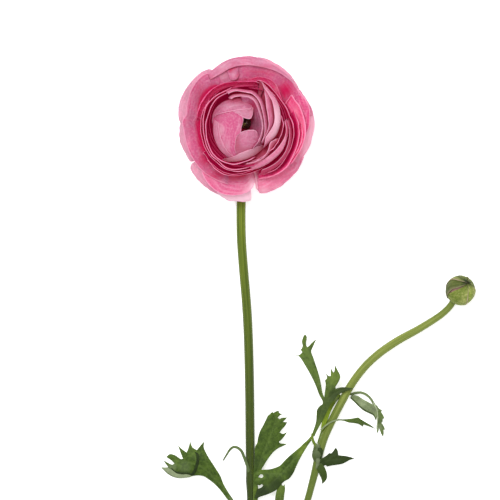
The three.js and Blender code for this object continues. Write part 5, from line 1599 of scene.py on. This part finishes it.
def bud():
    """The closed bud: five sepals that overlap round it, its foot and the petals inside."""
    cover = Growth()
    for k, (tucked, free, reach, (deep, fresh, pale), pale_edge, light) in enumerate(SEPALS):
        draw = random.Random(40 + k)
        u, t = np.linspace(-1, 1, 52)[None, :], np.linspace(0, 1, 44)[:, None]
        ragged = 2.5 * ripple(draw, u, 3, 8, 16)
        latitude = np.radians(-SEPAL_FOOT + (SEPAL_FOOT + reach + ragged) * t)
        tuck, edge_line = (np.interp(t, [0, 0.35, 0.62, 1], line) for line in (tucked, free))
        longitude = np.radians(tuck + (edge_line - tuck) * (u + 1) / 2 + 1.5 * ripple(draw, t, 3, 4, 11))
        r = BUD_R - 0.4 + 0.3 * u**3 + 0.12 * ripple(draw, u, 3, 3, 9) * t + 0.08 * ripple(draw, t, 3, 5, 12)
        girth = np.cos(latitude) ** np.where(latitude < 0, 0.74, 0.97)
        points = np.stack([
            r * girth * np.cos(longitude), r * girth * np.sin(longitude), r * np.sin(latitude) * 0.93,
        ], axis=-1)
        margin = np.minimum((1 - np.abs(u)) * 6, 3)
        # A painted highlight on the round middle of each sepal: paler, fresher and less dark there.
        sepal_highlight = light * np.exp(-(((u - 0.45) / 0.4) ** 2) - ((t - 0.62) / 0.22) ** 2)
        top_dark = smoothstep(t + 0.05 * ripple(draw, u, 4, 6, 20), 0.87, 1.0)
        light_edge = pale_edge * np.exp(-(((1 - u) / 0.11) ** 2))
        grow_sheet(
            cover, on_bud(points.reshape(-1, 3)).reshape(points.shape), 0.3, margin=margin,
            deep=np.clip(deep * (1 - 0.9 * sepal_highlight) + top_dark * 0.8, 0, 1),
            fresh=fresh * (1 - top_dark) + 0.25 * sepal_highlight,
            pale=np.clip(pale * sepal_highlight + light_edge, 0, 1) * (1 - 0.6 * top_dark),
            rib=(0.5 + 0.5 * np.cos(u * 26 + 2 * ripple(draw, t, 2, 2, 6)))**2 * 1.6,
        )
    foot, faces = turned_form([(0.02, -8), (2.5, -7.9), (3.6, -6.4), (0.02, -6.3)], 14, 28)
    cover.add(on_bud(foot), faces, margin=3.0, along=0.0)
    cover.piece("bud_cover", SEPAL_GREEN, "sepal", "bud_sepals")
    closed = Growth()
    points, faces = turned_form(
        [(0.02, -5.6), (4.3, -5.0), (6.95, -3), (7.7, 0), (7.05, 3), (4.5, 5.6), (0.02, 6.8)], 40, 48)
    closed.add(on_bud(points), faces, along=0.4, inner=0.0, blush=0.3)
    closed.piece("bud_petal_ball", BUD_PINK, "bud_petal", "bud_petals")


bud()


# ---- Under and inside the bloom ----

CALYX_FOOT = 14.35  # mm above the table
SEPAL_ARCH = ((1.5, 2.2), (10, 4.6), (16, 1.6), (18.5, -6))  # the points (out, up) that bend a sepal


def calyx():
    """The green seat under the petals with its five sepals, bent back."""
    growth = Growth()
    seat, faces = turned_form([(0.02, 0), (2.9, 0), (4.2, 1.6), (4.9, 3.8), (0.02, 3.8)], 24, 36)
    growth.add(seat + AXIS + [0, 0, CALYX_FOOT], faces, margin=3.0)
    for azimuth in (18, 90, 162, 228, 312):
        u, t = np.linspace(-1, 1, 20)[None, :], np.linspace(0, 1, 30)[:, None]
        s = t * (1 - 0.5 * u * u)
        r, z = ((1 - s)**3 * a + 3 * s * (1 - s)**2 * b + 3 * s * s * (1 - s) * c + s**3 * d
                for a, b, c, d in zip(*SEPAL_ARCH))
        bend = np.maximum(r, 9)
        turn = 4.6 * np.sin(math.pi * (0.2 + 0.46 * s)) * u / bend
        away, beside = r - bend + bend * np.cos(turn), bend * np.sin(turn)
        a = math.radians(azimuth)
        points = np.stack([
            AXIS[0] + away * math.cos(a) - beside * math.sin(a),
            AXIS[1] + away * math.sin(a) + beside * math.cos(a),
            CALYX_FOOT + z + 0.25 * np.abs(u),
        ], axis=-1)
        grow_sheet(growth, points, 0.55, margin=np.minimum((1 - np.abs(u)) * 5, 3))
    growth.piece("bloom_sepals", SEPAL_GREEN, "sepal", "calyx")


CARPEL_COUNT = 90
GOLDEN_TURN = 137.508  # degrees from each carpel to the next
CARPEL_RADII = np.array([0.3, 0.36, 0.34, 0.28, 0.2, 0.13, 0.07])


def carpel_cone():
    """The dark heart: small hooked carpels in spirals on a cone."""
    growth = Growth()
    foot = BLOOM_FOOT + 12.35
    cone, faces = turned_form([(0.02, 0), (3.4, 0), (3.4, 2), (2.4, 6), (1.1, 8), (0.02, 8.2)], 30, 32)
    growth.add(cone + AXIS + [0, 0, foot], faces)
    draw = random.Random(9)
    for k in range(CARPEL_COUNT):
        share = (k + 0.5) / CARPEL_COUNT
        a = math.radians(k * GOLDEN_TURN)
        r = 3.35 * math.sqrt(max(0.0, 1 - share * share * 0.97))
        z = foot + 0.9 + 7.3 * share
        out = np.array([math.cos(a), math.sin(a), 0.5 + share])
        root = AXIS + np.array([r * math.cos(a) * 0.8, r * math.sin(a) * 0.8, z])
        line = smooth_path([root, root + out * 0.45, root + out * 0.75 + [0, 0, 0.4]], len(CARPEL_RADII))
        grow_tube(
            growth, line, CARPEL_RADII, sides=7, upright=(math.sin(a), -math.cos(a), 0.1),
            tip=np.linspace(0, draw.uniform(0.1, 1.0), len(line)),
            green=smoothstep(-math.cos(a) - 0.6 * math.sin(a), 0.98, 1.15),
        )
    growth.piece("carpel_cone", CARPELS, "pistil", "pistil_head")


calyx()
carpel_cone()


# ---- Light, table and camera ----

TABLE_HALF = 4.0  # metres
BLOOM_AIM = (-0.04, 0.1, 0)  # where the lamps point, in metres


def table_top():
    """The pale table that the flower lies on."""
    f = Finish("pale_table", Roughness=0.6, Specular_IOR_Level=0.2)
    grain = f.noise(f.place(), 40.0, 4.0)
    f.feed("Base Color", f.mix((0.93, 0.93, 0.93, 1), (0.95, 0.95, 0.95, 1), grain))
    f.shader.inputs["Emission Color"].default_value = (1, 1, 1, 1)
    f.shader.inputs["Emission Strength"].default_value = 0.5
    corners = [(-TABLE_HALF, -TABLE_HALF, 0), (TABLE_HALF, -TABLE_HALF, 0), (TABLE_HALF, TABLE_HALF, 0),
               (-TABLE_HALF, TABLE_HALF, 0)]
    mesh = bpy.data.meshes.new("table")
    mesh.from_pydata(corners, [], [(0, 1, 2, 3)])
    mesh.materials.append(f.material)
    made = bpy.data.objects.new("table", mesh)
    bpy.context.scene.collection.objects.link(made)


def lamp(name, place, size, power):
    """A round soft lamp that points at the bloom's foot. Its place and size are in metres."""
    light = bpy.data.lights.new(name, "AREA")
    light.shape = "DISK"
    light.size = size
    light.energy = power
    made = bpy.data.objects.new(name, light)
    made.location = place
    way = np.array(place) - np.array(BLOOM_AIM)
    made.rotation_euler = (math.atan2(math.hypot(way[0], way[1]), way[2]), 0, math.atan2(way[0], -way[1]))
    bpy.context.scene.collection.objects.link(made)


def studio():
    """Soft light from all round, two lamps and the camera straight above."""
    scene = bpy.context.scene
    world = bpy.data.worlds.new("soft_white")
    world.use_nodes = True
    background = world.node_tree.nodes["Background"]
    background.inputs[0].default_value = (1, 1, 1, 1)
    background.inputs[1].default_value = 0.45
    scene.world = world
    lamp("window", (-0.5, 0.75, 2.3), size=1.1, power=42)
    lamp("fill", (0.8, -0.4, 2.4), size=1.2, power=12)
    lens = bpy.data.cameras.new("camera")
    lens.sensor_width = SENSOR_WIDTH
    lens.lens = SENSOR_WIDTH * CAMERA_HEIGHT / (PICTURE_DOTS * MM_PER_DOT)
    lens.clip_end = 100
    camera = bpy.data.objects.new("camera", lens)
    camera.location = (AIM[0] * MM, AIM[1] * MM, CAMERA_HEIGHT * MM)
    scene.collection.objects.link(camera)
    scene.camera = camera
    scene.view_settings.view_transform = "Standard"


table_top()
studio()
